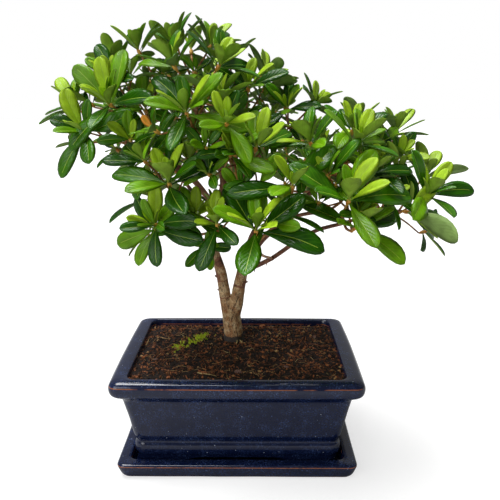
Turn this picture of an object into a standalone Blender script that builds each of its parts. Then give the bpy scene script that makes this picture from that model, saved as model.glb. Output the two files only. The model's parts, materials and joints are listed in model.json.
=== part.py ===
"""Azalea bonsai in its glazed rectangular pot, standing in a drip saucer.

The origin is the middle of the saucer's underside. +Z is up, +X is the right end of the pot
and -Y its front. Sizes are in millimetres and are turned into metres by MM.
"""

import math
import random
from collections import namedtuple
from itertools import permutations

import bmesh
import bpy
from mathutils import Vector
from mathutils.bvhtree import BVHTree

MM = 0.001
GAP = 0.3  # clear distance between pieces that touch
UP = Vector((0, 0, 1))

# ------------------------------------------------------------------ sizes of the pot
RIM_LENGTH = 150
RIM_WIDTH = 112.5
SIDE_BOW = 0.9  # the long and short sides of the rim bow out by this much in the middle
SAUCER_LENGTH = 145.2
SAUCER_WIDTH = 108.9
SAUCER_FLOOR = 3.3
FOOT_BOTTOM = SAUCER_FLOOR + GAP
CORNER_STEPS = 3

Ring = namedtuple("Ring", "inset height corner")
POT_OUTSIDE = (
    Ring(14.0, FOOT_BOTTOM, 7),
    Ring(13.2, 5.5, 7),
    Ring(13.0, 9.6, 7),
    Ring(12.1, 10.8, 7),
    Ring(11.5, 13.5, 7),
    Ring(11.7, 16.8, 7),
    Ring(12.8, 18.9, 6),
    Ring(12.2, 21.2, 6),
    Ring(11.5, 22.4, 6),
    Ring(10.3, 29.0, 6),
    Ring(8.7, 38.0, 6),
    Ring(7.1, 46.0, 6),
    Ring(6.3, 49.6, 6),
    Ring(3.2, 52.4, 6),
    Ring(0.9, 53.8, 6),
    Ring(0.0, 57.0, 6),
    Ring(0.1, 60.0, 6),
    Ring(1.5, 62.2, 5),
    Ring(4.2, 63.4, 5),
)
RIM_TOP = POT_OUTSIDE[-1].height
RIM_FLAT = {"x": 9.5, "y": 6.5}  # width of the rim's top at the short and at the long sides
OPENING_CORNER = 6
INSIDE_WALL = (  # how far the inner wall leans in below the rim's inner edge, and the height
    (0.0, RIM_TOP),
    (0.6, 62.4),
    (1.4, 56.0),
    (4.5, 48.0),
    (9.0, 24.0),
    (10.0, 13.0),
)
POT_UNDERSIDE = 8.2
FOOT_WIDTH = 6.5
FOOT_INSIDE_CORNER = 3
ARCH_TOP = 8.3
ARCH_SPANS = {"long": (84, 44), "short": (56, 28)}  # at the floor, and where it is highest
ARCH_STEPS = 6

SAUCER_RINGS = (
    Ring(3.4, 0.0, 6),
    Ring(1.8, 1.0, 6),
    Ring(0.5, 6.0, 5),
    Ring(0.0, 7.9, 5),
    Ring(0.6, 9.0, 5),
    Ring(2.0, 9.5, 4),
    Ring(6.8, 9.5, 4),
    Ring(7.6, 8.9, 4),
    Ring(9.0, SAUCER_FLOOR, 4),
)

SOIL_EDGE = 60.0
SOIL_TOP = 61.5
SOIL_BANK = 5  # the rising band of soil along the walls
SOIL_FLAT_FROM = (26, 18)  # the level middle starts this far from the short and long walls

# ------------------------------------------------------------------ sizes of the limbs
TRUNK_FOOT = Vector((-4.0, 17, SOIL_TOP + GAP))
TRUNK_FORK = Vector((-5.5, 16.4, 83))
TRUNK_RADII = {"soil": 7.2, "flare": 6.5, "waist": 6.2, "fork": 6.5}
FLARE_HEIGHT = 4
STUBS = {  # the two stems part here: the fork's flat-cut ends and their radii
    "trunk_left": (Vector((-10.1, 16.6, 97.5)), 3.9),
    "trunk_right": (Vector((-0.3, 14.6, 98.0)), 4.3),
}
ARM_ROOT = (1.2, 6)  # each stem starts this far beside and below the fork, inside the trunk,
ARM_BOW = (0.55, 0.4)  # bows out at this share of its way by this much,
ARM_FLARE = 1.12  # and is this much thicker at its root than at its cut
WAIST_SHARE = 0.55  # how far up the trunk its waist is
ROUTE_STEP = 7  # distance between a limb's rings
THIN_LIMB = 2.2  # limbs under this radius have fewer sides
FAN_TURNS = 24  # how many turns of a fan of limbs are tried at a limb's end

Limb = namedtuple("Limb", "name parent share radii through tip")
LIMBS = (
    Limb("left_stem", "trunk_left", 1, (3.8, 3.1), [(-12.5, 16.5, 111), (-18.3, 17, 131)], (-15, 18, 152)),
    Limb("right_stem", "trunk_right", 1, (4.2, 3.7), [], (2.4, 12.8, 112)),
    Limb("leader", "left_stem", 1, (2.6, 1.8), [(-10, 18, 168), (-13, 18, 184)], (-17, 15, 201)),
    Limb("left_bough", "left_stem", 1, (2.2, 1.7), [(-29, 8, 173)], (-45, 0, 186)),
    Limb("left_outer_bough", "left_bough", 1, (1.3, 1.0), [], (-67, -6, 196)),
    Limb("left_upper_bough", "left_bough", 1, (1.3, 1.0), [], (-54, 1, 204)),
    Limb("low_left_bough", "left_stem", 0.6, (1.4, 1.0), [], (-33, -13, 141)),
    Limb("middle_left_bough", "left_stem", 0.82, (1.6, 1.1), [(-26, -6, 153)], (-33, -28, 167)),
    Limb("centre_front_bough", "leader", 0.55, (1.5, 1.1), [], (-12, -22, 199)),
    Limb("upper_right_bough", "leader", 0.25, (1.8, 1.3), [(4.5, 9, 177)], (19, 0, 196)),
    Limb("back_top_bough", "leader", 0.75, (1.5, 1.1), [], (-14, 42, 205)),
    Limb("back_left_bough", "left_stem", 0.9, (1.6, 1.2), [(-28, 28, 158)], (-41, 36, 172)),
    Limb("right_bough", "right_stem", 1, (1.8, 1.5), [(10, 4, 116.5)], (21, -14, 127)),
    Limb("right_outer_bough", "right_bough", 1, (1.5, 1.2), [(43, -24, 145)], (62, -30, 152.5)),
    Limb("right_end_bough", "right_outer_bough", 1, (1.1, 0.9), [], (83, -30, 159)),
    Limb("shoulder_bough", "right_stem", 1, (2.4, 1.8), [(14, 1, 134)], (29, -12, 151)),
    Limb("front_shoulder_bough", "shoulder_bough", 1, (1.3, 1.1), [(39, -22, 156)], (49, -36, 160)),
    Limb("crest_bough", "shoulder_bough", 1, (1.5, 1.1), [(42, -9, 165)], (55, -6, 177)),
    Limb("back_right_bough", "right_stem", 1, (1.9, 1.2), [(10, 30, 135)], (33, 44, 160)),
)

# ------------------------------------------------------------------ sizes of the foliage
STEM_RADIUS = 0.75
TWIG_RADII = (0.65, 0.55)
BUD_RADIUS = 1.6
BUD_LENGTH = 4.2
TWIG_INTO_STEM = 0.3
TWIG_TO_BUD = 0.7  # a twig ends this far back from its shoot's tip, of the bud's length
SHOOT_LEAVES = 7
LEAF_WIDTH = 0.46  # of its length
LEAF_THICKNESS = 0.021
LEAF_OUTLINE = ((0.38, 0.39), (0.75, 0.46))  # half the blade: along its length, across its width
LEAF_KEEL = 0.07  # the blade's edges stand up from the midrib, of its length
LEAF_DROOP = 0.10  # its tip bends down, of its length
STEEPEST_LEAF = 28  # angle of a shoot's last leaf from its heading
SHOOT_LIFT = 0.7  # a shoot bends up as it grows: how far its last leaf has turned to the sky
WHORL_LENGTH = (1.0, 0.55)
TURN_CHANCE = 0.12  # how far each leaf may be off its rule, in radians,
ANGLE_CHANCE = 0.10
LENGTH_CHANCE = (0.92, 1.04)
GOLDEN_ANGLE = math.radians(137.5)
NEXT_SHOOT_TURN = math.radians(63)
BLADE_FROM = 0.3  # the part of a leaf beyond its root, kept clear of every other leaf
SHOOT_SPACING = 0.44  # of the leaf's length, from the middle of a mass to its shoots
SHOOT_LEAN = 34
HUB_DEPTH = 0.75
LONE_HUB_DEPTH = 0.4
LEAF_TRIES = (1.0, 0.78)
LEAF_BALL = 0.62  # radius of the ball that holds a leaf, of its length
LOWEST_LEAF = RIM_TOP + 6

# heading: (azimuth, elevation), azimuth 0 is right, -90 front, 180 left.  leaf: length of the longest.
# spread: angle of a shoot's first leaf from its heading.  fan: the side on which the first shoot lies,
# and turn: the side to which its first leaf points, both from level to the right, rising.
Mass = namedtuple("Mass", "name bough heart heading shoots leaf spread fan turn")
MASSES = (
    Mass("low_front", "right_bough", (11, -68, 156), (-92, 40), 1, 38, 86, 0, -16),
    Mass("low_front_left", "low_left_bough", (-10, -56, 157), (-100, 30), 1, 27, 84, 0, 258),
    Mass("left_middle", "middle_left_bough", (-36, -49, 178), (-100, 40), 1, 37, 86, 0, 33),
    Mass("left_middle_outer", "middle_left_bough", (-52, -30, 188), (-125, 38), 1, 29, 80, 0, 153),
    Mass("right_low_front", "right_outer_bough", (59, -64, 171), (-80, 40), 1, 38, 86, 0, 8),
    Mass("right_front", "front_shoulder_bough", (30, -60, 178), (-95, 38), 1, 36, 82, 0, 52),
    Mass("right_front_upper", "front_shoulder_bough", (60, -49, 183), (-80, 60), 2, 26, 66, 0, 0),
    Mass("front_upper_left", "centre_front_bough", (-26, -45, 215), (-100, 36), 1, 34, 84, 0, -5),
    Mass("front_middle", "centre_front_bough", (0, -48, 194), (-85, 38), 1, 29, 80, 0, 50),
    Mass("front_upper", "centre_front_bough", (-6, -43, 216), (-80, 60), 2, 28, 70, 90, 90),
    Mass("left_front", "left_outer_bough", (-72, -22, 219), (-112, 20), 1, 36, 84, 0, 88),
    Mass("left_tip", "left_outer_bough", (-93, -8, 211), (-128, 36), 2, 32, 84, 140, 183),
    Mass("left_inner", "left_upper_bough", (-54, -8, 216), (-90, 35), 1, 28, 80, 0, 40),
    Mass("left_shoulder", "left_upper_bough", (-74, 4, 238), (-150, 58), 2, 28, 74, 150, 150),
    Mass("left_crest", "left_upper_bough", (-51, 10, 249), (120, 78), 2, 27, 66, 20, 20),
    Mass("low_left", "low_left_bough", (-48, -36, 160), (-125, 40), 2, 30, 86, 130, 143),
    Mass("low_left_inner", "low_left_bough", (-24, -41, 157), (-90, 35), 1, 26, 82, 0, 200),
    Mass("top", "leader", (-27, 6, 252), (100, 86), 3, 27, 62, 30, 30),
    Mass("top_front", "leader", (-22, -26, 240), (-90, 66), 2, 29, 64, 0, 0),
    Mass("top_right", "leader", (5, 10, 240), (40, 68), 2, 26, 70, 60, 60),
    Mass("front_centre", "upper_right_bough", (11, -50, 197), (-75, 45), 1, 31, 82, 0, 35),
    Mass("right_crest", "upper_right_bough", (12, -8, 229), (-35, 62), 2, 28, 72, 10, 40),
    Mass("right_slope", "upper_right_bough", (38, -4, 218), (-60, 45), 2, 25, 74, 10, 20),
    Mass("right_shoulder", "crest_bough", (53, -41, 199), (-90, 60), 2, 29, 68, 0, 0),
    Mass("right_top", "crest_bough", (73, -14, 203), (-20, 62), 3, 27, 70, 40, 40),
    Mass("right_outer", "crest_bough", (96, -4, 195), (-60, 50), 2, 28, 72, 60, 78),
    Mass("right_tip", "right_end_bough", (111, -16, 172), (-25, 50), 2, 33, 62, 200, 212),
    Mass("right_inner", "right_end_bough", (75, -42, 184), (-70, 52), 1, 29, 80, 0, 0),
    Mass("right_under", "right_end_bough", (97, -37, 160), (0, -12), 1, 38, 30, 0, 200),
    Mass("right_droop", "right_outer_bough", (66, -48, 154), (-60, 45), 1, 38, 84, 0, 13),
    Mass("back_left", "back_left_bough", (-52, 58, 192), (115, 38), 2, 30, 80, 15, 15),
    Mass("back_left_outer", "back_left_bough", (-80, 36, 206), (155, 42), 2, 30, 80, 50, 50),
    Mass("back_top", "back_top_bough", (-32, 50, 230), (110, 60), 3, 28, 72, 0, 0),
    Mass("back_crest", "back_top_bough", (12, 46, 218), (60, 56), 2, 30, 76, 35, 35),
    Mass("back_centre", "back_top_bough", (-8, 76, 194), (90, 35), 2, 31, 80, 70, 70),
    Mass("back_right", "back_right_bough", (44, 58, 185), (65, 42), 3, 29, 80, 20, 20),
    Mass("back_right_outer", "back_right_bough", (84, 36, 178), (20, 42), 2, 30, 80, 55, 55),
)


# ------------------------------------------------------------------ small helpers
def clear_scene():
    for item in list(bpy.data.objects):
        bpy.data.objects.remove(item, do_unlink=True)


def new_collection(name):
    collection = bpy.data.collections.new(name)
    bpy.context.scene.collection.children.link(collection)
    return collection


def plain_material(name, colour, roughness):
    material = bpy.data.materials.new(name)
    material.use_nodes = True
    surface = material.node_tree.nodes["Principled BSDF"]
    surface.inputs["Base Color"].default_value = (*colour, 1)
    surface.inputs["Roughness"].default_value = roughness
    return material


def object_from_bmesh(name, bm, collection):
    bmesh.ops.scale(bm, vec=(MM, MM, MM), verts=bm.verts)
    mesh = bpy.data.meshes.new(name)
    bm.to_mesh(mesh)
    bm.free()
    made = bpy.data.objects.new(name, mesh)
    collection.objects.link(made)
    return made


def evaluated_mesh(made):
    bpy.context.view_layer.update()
    depsgraph = bpy.context.evaluated_depsgraph_get()
    return bpy.data.meshes.new_from_object(made.evaluated_get(depsgraph))


def keep_largest_body(mesh):
    """Drops loose scraps, and fills sealed hollows by dropping their inner skins."""
    bm = bmesh.new()
    bm.from_mesh(mesh)
    unseen = set(bm.verts)
    bodies = []
    while unseen:
        edge_of_body = [unseen.pop()]
        body = set(edge_of_body)
        while edge_of_body:
            vert = edge_of_body.pop()
            for edge in vert.link_edges:
                other = edge.other_vert(vert)
                if other in unseen:
                    unseen.discard(other)
                    body.add(other)
                    edge_of_body.append(other)
        bodies.append(body)
    largest = max(bodies, key=len)
    scraps = [vert for body in bodies if body is not largest for vert in body]
    bmesh.ops.delete(bm, geom=scraps, context="VERTS")
    bmesh.ops.triangulate(bm, faces=bm.faces)
    bm.to_mesh(mesh)
    bm.free()


def joined(first, others, name):
    """One Boolean union of a piece with a collection of others, applied; the others are removed."""
    bag = new_collection(f"{name}_pieces")
    for piece in others:
        bag.objects.link(piece)
    union = first.modifiers.new("union", "BOOLEAN")
    union.operation = "UNION"
    union.solver = "EXACT"
    union.operand_type = "COLLECTION"
    union.collection = bag
    whole = evaluated_mesh(first)
    first.modifiers.clear()
    keep_largest_body(whole)
    first.data = whole
    first.name = name
    for piece in list(bag.objects):
        bpy.data.objects.remove(piece, do_unlink=True)
    bpy.data.collections.remove(bag)
    return first


# ------------------------------------------------------------------ pot, saucer and soil
def rounded_ring(half_length, half_width, height, corner, bow=0.0):
    """Points round a rectangle with round corners whose sides bow out in the middle."""
    points = []
    out_x, out_y = half_length + bow, half_width + bow
    middles = ((out_x, 0), (0, out_y), (-out_x, 0), (0, -out_y))
    for quarter in range(4):
        side_x = 1 if quarter in (0, 3) else -1
        side_y = 1 if quarter in (0, 1) else -1
        points.append(Vector((*middles[quarter], height)))
        for step in range(CORNER_STEPS + 1):
            turn = math.radians(90) * (quarter + step / CORNER_STEPS)
            x = side_x * (half_length - corner) + corner * math.cos(turn)
            y = side_y * (half_width - corner) + corner * math.sin(turn)
            points.append(Vector((x, y, height)))
    return points


def loft(name, rings, collection):
    """A closed body over a pile of rings, capped at both ends."""
    bm = bmesh.new()
    loops = [[bm.verts.new(point) for point in ring] for ring in rings]
    for lower, upper in zip(loops, loops[1:]):
        count = len(lower)
        for i in range(count):
            j = (i + 1) % count
            bm.faces.new((lower[i], lower[j], upper[j], upper[i]))
    bm.faces.new(reversed(loops[0]))
    bm.faces.new(loops[-1])
    bmesh.ops.triangulate(bm, faces=bm.faces)
    return object_from_bmesh(name, bm, collection)


def inner_ring(lean, height, clearance=0.0):
    half_length = RIM_LENGTH / 2 - RIM_FLAT["x"] - lean - clearance
    half_width = RIM_WIDTH / 2 - RIM_FLAT["y"] - lean - clearance
    return rounded_ring(half_length, half_width, height, OPENING_CORNER)


def arch_cutter(name, spans, length, collection):
    """A low arch between two feet, cut right through the foot ring."""
    floor_span, top_span = spans
    rise = ARCH_TOP - FOOT_BOTTOM
    outline = []
    for step in range(ARCH_STEPS + 1):
        share = step / ARCH_STEPS
        x = (floor_span + (top_span - floor_span) * share) / 2
        lift = rise * (1 - math.cos(math.pi * share)) / 2
        outline.append((x, lift))
    outline += [(-x, lift) for x, lift in reversed(outline)]
    outline += [(-floor_span / 2, -1), (floor_span / 2, -1)]
    curve = bpy.data.curves.new(name, "CURVE")
    curve.dimensions = "2D"
    curve.fill_mode = "BOTH"
    curve.extrude = length / 2 * MM
    spline = curve.splines.new("POLY")
    spline.points.add(len(outline) - 1)
    spline.use_cyclic_u = True
    for point, (x, lift) in zip(spline.points, outline):
        point.co = (x * MM, lift * MM, 0, 1)
    cutter = bpy.data.objects.new(name, curve)
    collection.objects.link(cutter)
    return as_mesh_object(cutter)


def as_mesh_object(curve_object):
    """The mesh of a curve object, with its caps welded on, in the curve object's place."""
    mesh = evaluated_mesh(curve_object)
    bm = bmesh.new()
    bm.from_mesh(mesh)
    bmesh.ops.remove_doubles(bm, verts=bm.verts, dist=0.001 * MM)
    bmesh.ops.recalc_face_normals(bm, faces=bm.faces)
    bm.to_mesh(mesh)
    bm.free()
    name = curve_object.name
    made = bpy.data.objects.new(f"{name}_mesh", mesh)
    made.matrix_world = curve_object.matrix_world
    for collection in curve_object.users_collection:
        collection.objects.link(made)
    bpy.data.objects.remove(curve_object, do_unlink=True)
    made.name = name
    return made


def build_pot(parts, cutters):
    rings = []
    inset = POT_OUTSIDE[0].inset + FOOT_WIDTH
    half_length, half_width = RIM_LENGTH / 2 - inset, RIM_WIDTH / 2 - inset
    for height in (POT_UNDERSIDE, FOOT_BOTTOM):
        rings.append(rounded_ring(half_length, half_width, height, FOOT_INSIDE_CORNER))
    for ring in POT_OUTSIDE:
        bow = SIDE_BOW * ring.height / RIM_TOP
        half_length, half_width = RIM_LENGTH / 2 - ring.inset, RIM_WIDTH / 2 - ring.inset
        rings.append(rounded_ring(half_length, half_width, ring.height, ring.corner, bow))
    rings += [inner_ring(lean, height) for lean, height in INSIDE_WALL]
    pot = loft("pot", rings, parts)
    for side, turn, length in (("long", 0, RIM_WIDTH), ("short", 90, RIM_LENGTH)):
        cutter = arch_cutter(f"{side}_side_arch", ARCH_SPANS[side], length, cutters)
        cutter.rotation_euler = (math.radians(90), 0, math.radians(turn))
        cutter.location.z = FOOT_BOTTOM * MM
        cutter.hide_render = True
        cutter.display_type = "WIRE"
        cut = pot.modifiers.new(f"{side}_arch", "BOOLEAN")
        cut.operation = "DIFFERENCE"
        cut.object = cutter
    return pot


def build_saucer(parts):
    rings = []
    for ring in SAUCER_RINGS:
        half_length, half_width = SAUCER_LENGTH / 2 - ring.inset, SAUCER_WIDTH / 2 - ring.inset
        rings.append(rounded_ring(half_length, half_width, ring.height, ring.corner))
    return loft("saucer", rings, parts)


def build_soil(parts):
    """The filled inside of the pot: a block with a low mound on top, level round the trunk."""
    walls = [(lean, height) for lean, height in reversed(INSIDE_WALL) if height < SOIL_EDGE]
    floor_lean, floor = walls[0]
    rings = [inner_ring(floor_lean, floor + GAP, GAP)]
    rings += [inner_ring(lean, height, GAP) for lean, height in walls[1:]]
    rings.append(inner_ring(walls[-1][0], SOIL_EDGE, GAP))
    bank_height = (SOIL_EDGE + 2 * SOIL_TOP) / 3
    rings.append(inner_ring(walls[-1][0] + SOIL_BANK, bank_height))
    flat_x = RIM_LENGTH / 2 - RIM_FLAT["x"] - SOIL_FLAT_FROM[0]
    flat_y = RIM_WIDTH / 2 - RIM_FLAT["y"] - SOIL_FLAT_FROM[1]
    rings.append(rounded_ring(flat_x, flat_y, SOIL_TOP, OPENING_CORNER))
    return loft("soil", rings, parts)


# ------------------------------------------------------------------ limbs
def smooth_route(points, step=ROUTE_STEP):
    """Points at even steps along a smooth curve through the given ones."""
    ends = [points[0] * 2 - points[1], *points, points[-1] * 2 - points[-2]]
    route = []
    for before, a, b, after in zip(ends, ends[1:], ends[2:], ends[3:]):
        steps = max(1, round((b - a).length / step))
        for i in range(steps):
            t = i / steps
            route.append(
                0.5
                * (
                    2 * a
                    + (b - before) * t
                    + (2 * before - 5 * a + 4 * b - after) * t * t
                    + (3 * a - before - 3 * b + after) * t**3
                )
            )
    route.append(points[-1].copy())
    return route


def tube(name, route, radii, collection, sides):
    """A round tapering limb along a route, with flat ends, as a mesh object."""
    curve = bpy.data.curves.new(name, "CURVE")
    curve.dimensions = "3D"
    curve.bevel_depth = MM
    curve.bevel_resolution = (sides - 4) // 2
    curve.use_fill_caps = True
    spline = curve.splines.new("POLY")
    spline.points.add(len(route) - 1)
    for point, place, radius in zip(spline.points, route, radii):
        point.co = (*(place * MM), 1)
        point.radius = radius
    made = bpy.data.objects.new(name, curve)
    collection.objects.link(made)
    return as_mesh_object(made)


def even_radii(route, first, last):
    lengths = [0.0]
    for a, b in zip(route, route[1:]):
        lengths.append(lengths[-1] + (b - a).length)
    return [first + (last - first) * length / lengths[-1] for length in lengths]


def build_trunk(parts):
    """From a flat cut at the soil up to the fork; returns it and the routes of its two arms."""
    waist = TRUNK_FOOT.lerp(TRUNK_FORK, WAIST_SHARE)
    route = [TRUNK_FOOT, TRUNK_FOOT + UP * FLARE_HEIGHT, waist, TRUNK_FORK]
    radii = [TRUNK_RADII[place] for place in ("soil", "flare", "waist", "fork")]
    trunk = tube("trunk", route, radii, parts, sides=12)
    arms = []
    arm_routes = {}
    for name, (end, radius) in STUBS.items():
        side = 1 if end.x > TRUNK_FORK.x else -1
        root = TRUNK_FORK + Vector((side * ARM_ROOT[0], 0, -ARM_ROOT[1]))
        bow = root.lerp(end, ARM_BOW[0]) + Vector((side * ARM_BOW[1], 0, 0))
        arm_route = smooth_route([root, bow, end])
        radii = even_radii(arm_route, radius * ARM_FLARE, radius)
        arms.append(tube(name, arm_route, radii, parts, sides=10))
        arm_routes[name] = (arm_route, (radius, radius))
    for arm in arms:
        parts.objects.unlink(arm)
    return joined(trunk, arms, "trunk"), arm_routes


def limb_direction(route):
    return (route[-1] - route[-2]).normalized()


def place_along(route, share):
    """The point and the direction at a share of a route's length."""
    lengths = [(b - a).length for a, b in zip(route, route[1:])]
    left = share * sum(lengths)
    for a, b, length in zip(route, route[1:], lengths):
        if left <= length:
            return a.lerp(b, left / length), (b - a).normalized()
        left -= length
    return route[-1].copy(), limb_direction(route)


def fan_starts(tip, axis, tip_radius, children):
    """Start points side by side just past a limb's end, for children given as (aim, radius)."""
    across = axis.orthogonal().normalized()
    along = axis.cross(across)
    widest = max(radius for _, radius in children)
    count = len(children)
    if count == 1:
        ring = 0.0
    else:
        ring = (widest + GAP / 2) / math.sin(math.pi / count)
    sideways = []
    for aim, _ in children:
        heading = (aim - tip).normalized()
        sideways.append(heading - axis * heading.dot(axis))
    best = None
    for turn in range(FAN_TURNS):
        slots = []
        for k in range(count):
            angle = math.tau * (turn / FAN_TURNS + k) / count
            slots.append(across * math.cos(angle) + along * math.sin(angle))
        for order in permutations(range(count)):
            score = sum(sideways[i].dot(slots[order[i]]) for i in range(count))
            if best is None or score > best[0]:
                best = (score, [slots[order[i]] for i in range(count)])
    starts = []
    for (aim, radius), slot in zip(children, best[1]):
        heading = (aim - tip).normalized()
        tilt = math.sqrt(max(0.0, 1 - heading.dot(axis) ** 2))
        starts.append(tip + slot * ring + axis * (GAP + radius * tilt))
    return starts


def side_start(place, axis, parent_radius, aim, radius):
    """The start point of a limb that leaves another one's side."""
    heading = (aim - place).normalized()
    lean = heading.dot(axis)
    reach = (parent_radius + GAP + radius * abs(lean)) / math.sqrt(1 - lean * lean)
    return place + heading * reach


def build_limbs(arm_routes, parts):
    """Every limb after the trunk; returns the limbs' routes and radii, and their objects."""
    routes = dict(arm_routes)
    aims = {limb.name: Vector(limb.through[0] if limb.through else limb.tip) for limb in LIMBS}
    built = {}
    for limb in LIMBS:
        parent_route, parent_radii = routes[limb.parent]
        if limb.share == 1:
            family = [(one.name, aims[one.name], one.radii[0]) for one in LIMBS
                      if one.parent == limb.parent and one.share == 1]
            starts = fan_starts(parent_route[-1], limb_direction(parent_route), parent_radii[1],
                                [(aim, radius) for _, aim, radius in family])
            start = starts[[name for name, _, _ in family].index(limb.name)]
        else:
            place, axis = place_along(parent_route, limb.share)
            thickness = parent_radii[0] + (parent_radii[1] - parent_radii[0]) * limb.share
            start = side_start(place, axis, thickness, aims[limb.name], limb.radii[0])
        route = smooth_route([start, *(Vector(point) for point in limb.through), Vector(limb.tip)])
        sides = 8 if limb.radii[0] > THIN_LIMB else 6
        built[limb.name] = tube(limb.name, route, even_radii(route, *limb.radii), parts, sides)
        routes[limb.name] = (route, limb.radii)
    return routes, built


# ------------------------------------------------------------------ foliage
def heading_vector(azimuth, elevation):
    a, e = math.radians(azimuth), math.radians(elevation)
    return Vector((math.cos(e) * math.cos(a), math.cos(e) * math.sin(a), math.sin(e)))


def side_frame(axis):
    """Two directions square to an axis: level, and up."""
    level = UP.cross(axis)
    if level.length < 0.05:
        level = Vector((1, 0, 0))
    level.normalize()
    return level, axis.cross(level).normalized()


def shoots_of(mass):
    """The places and headings of a mass's leafy shoots, fanned round its own heading."""
    heart, axis = Vector(mass.heart), heading_vector(*mass.heading)
    if mass.shoots == 1:
        return [(heart, axis)]
    level, rise = side_frame(axis)
    shoots = []
    for k in range(mass.shoots):
        angle = math.radians(mass.fan) + math.tau * k / mass.shoots
        outward = level * math.cos(angle) + rise * math.sin(angle)
        lean = math.radians(SHOOT_LEAN)
        place = heart + outward * mass.leaf * SHOOT_SPACING
        shoots.append((place, (axis * math.cos(lean) + outward * math.sin(lean)).normalized()))
    return shoots


def stick(name, start, end, radii, collection, sides=3):
    """A straight tapering twig from one point to another."""
    run = end - start
    bm = bmesh.new()
    bmesh.ops.create_cone(
        bm, cap_ends=True, segments=sides, radius1=radii[0], radius2=radii[1], depth=run.length
    )
    turn = UP.rotation_difference(run.normalized())
    bmesh.ops.rotate(bm, verts=bm.verts, cent=(0, 0, 0), matrix=turn.to_matrix())
    bmesh.ops.translate(bm, verts=bm.verts, vec=(start + end) / 2)
    return object_from_bmesh(name, bm, collection)


def bud(name, place, axis, collection):
    """The swollen end of a shoot, where its leaves are rooted."""
    bm = bmesh.new()
    made = bmesh.ops.create_uvsphere(bm, u_segments=4, v_segments=2, radius=BUD_RADIUS)
    bmesh.ops.scale(bm, verts=made["verts"], vec=(1, 1, BUD_LENGTH / 2 / BUD_RADIUS))
    turn = UP.rotation_difference(axis)
    bmesh.ops.rotate(bm, verts=bm.verts, cent=(0, 0, 0), matrix=turn.to_matrix())
    bmesh.ops.translate(bm, verts=bm.verts, vec=place - axis * (BUD_LENGTH / 2 - 1))
    return object_from_bmesh(name, bm, collection)


Leaf = namedtuple("Leaf", "root heading face length")


def leaves_of(place, axis, leaf_length, spread, first_turn, rng):
    """A shoot's leaves in the order of a golden-angle whorl, from the widest to the steepest."""
    leaves = []
    for k in range(SHOOT_LEAVES):
        share = k / (SHOOT_LEAVES - 1)
        lifted = (axis + UP * SHOOT_LIFT * share**2).normalized()
        level, rise = side_frame(lifted)
        turn = first_turn + GOLDEN_ANGLE * k + rng.uniform(-TURN_CHANCE, TURN_CHANCE)
        outward = level * math.cos(turn) + rise * math.sin(turn)
        angle = math.radians(spread + (STEEPEST_LEAF - spread) * share**1.2)
        angle += rng.uniform(-ANGLE_CHANCE, ANGLE_CHANCE)
        length = leaf_length * (WHORL_LENGTH[0] + (WHORL_LENGTH[1] - WHORL_LENGTH[0]) * share**1.5)
        length *= rng.uniform(*LENGTH_CHANCE)
        heading = lifted * math.cos(angle) + outward * math.sin(angle)
        face = lifted * math.sin(angle) - outward * math.cos(angle)
        root = place - axis * BUD_LENGTH * 0.5 * (1 - share)
        leaves.append(Leaf(root, heading, face, length))
    return leaves


def leaf_shape(leaf, scale=1.0, margin=0.0, start=0.0):
    """Corner points and triangles of a keeled blade; a margin makes it fatter on all sides."""
    length = leaf.length * scale
    side = leaf.heading.cross(leaf.face)
    half_thickness = length * LEAF_THICKNESS / 2 + margin

    def blade_point(along, across, lift=0.0):
        bend = -LEAF_DROOP * length * along * along
        keel = LEAF_KEEL * length * abs(across) * 2
        rise = leaf.face * (bend + keel + lift)
        return leaf.root + leaf.heading * (along * length) + side * (across * LEAF_WIDTH * length) + rise

    wider = margin / (LEAF_WIDTH * length)
    rim = [blade_point(start, 0)]
    rim += [blade_point(along, across + wider) for along, across in LEAF_OUTLINE]
    rim.append(blade_point(1 + margin / length, 0))
    rim += [blade_point(along, -across - wider) for along, across in reversed(LEAF_OUTLINE)]
    middle = sum(along for along, _ in LEAF_OUTLINE) / len(LEAF_OUTLINE)
    points = rim + [blade_point(middle, 0, half_thickness), blade_point(middle, 0, -half_thickness)]
    top, bottom = len(rim), len(rim) + 1
    faces = []
    for i in range(len(rim)):
        j = (i + 1) % len(rim)
        faces.append((j, i, top))
        faces.append((i, j, bottom))
    return points, faces


def tree_of(points, faces):
    return BVHTree.FromPolygons(points, faces)


def tree_of_object(made):
    bm = bmesh.new()
    bm.from_mesh(made.data)
    bmesh.ops.transform(bm, matrix=made.matrix_world, verts=bm.verts)
    bmesh.ops.scale(bm, vec=(1 / MM,) * 3, verts=bm.verts)
    tree = BVHTree.FromBMesh(bm)
    bm.free()
    return tree


class Blocker:
    """Something that a leaf keeps clear of, with the ball that holds it."""

    def __init__(self, tree, middle, radius):
        self.tree, self.middle, self.radius = tree, middle, radius

    def meets(self, tree, middle, radius):
        return (middle - self.middle).length < radius + self.radius and bool(self.tree.overlap(tree))


def blocker_of_leaf(leaf, scale, start=0.0):
    reach = leaf.length * scale
    tree = tree_of(*leaf_shape(leaf, scale, start=start))
    return Blocker(tree, leaf.root + leaf.heading * reach / 2, reach * LEAF_BALL)


def blocker_of_object(made):
    corners = [Vector(corner) / MM for corner in made.bound_box]
    middle = sum(corners, Vector()) / 8
    return Blocker(tree_of_object(made), middle, max((corner - middle).length for corner in corners))


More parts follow.
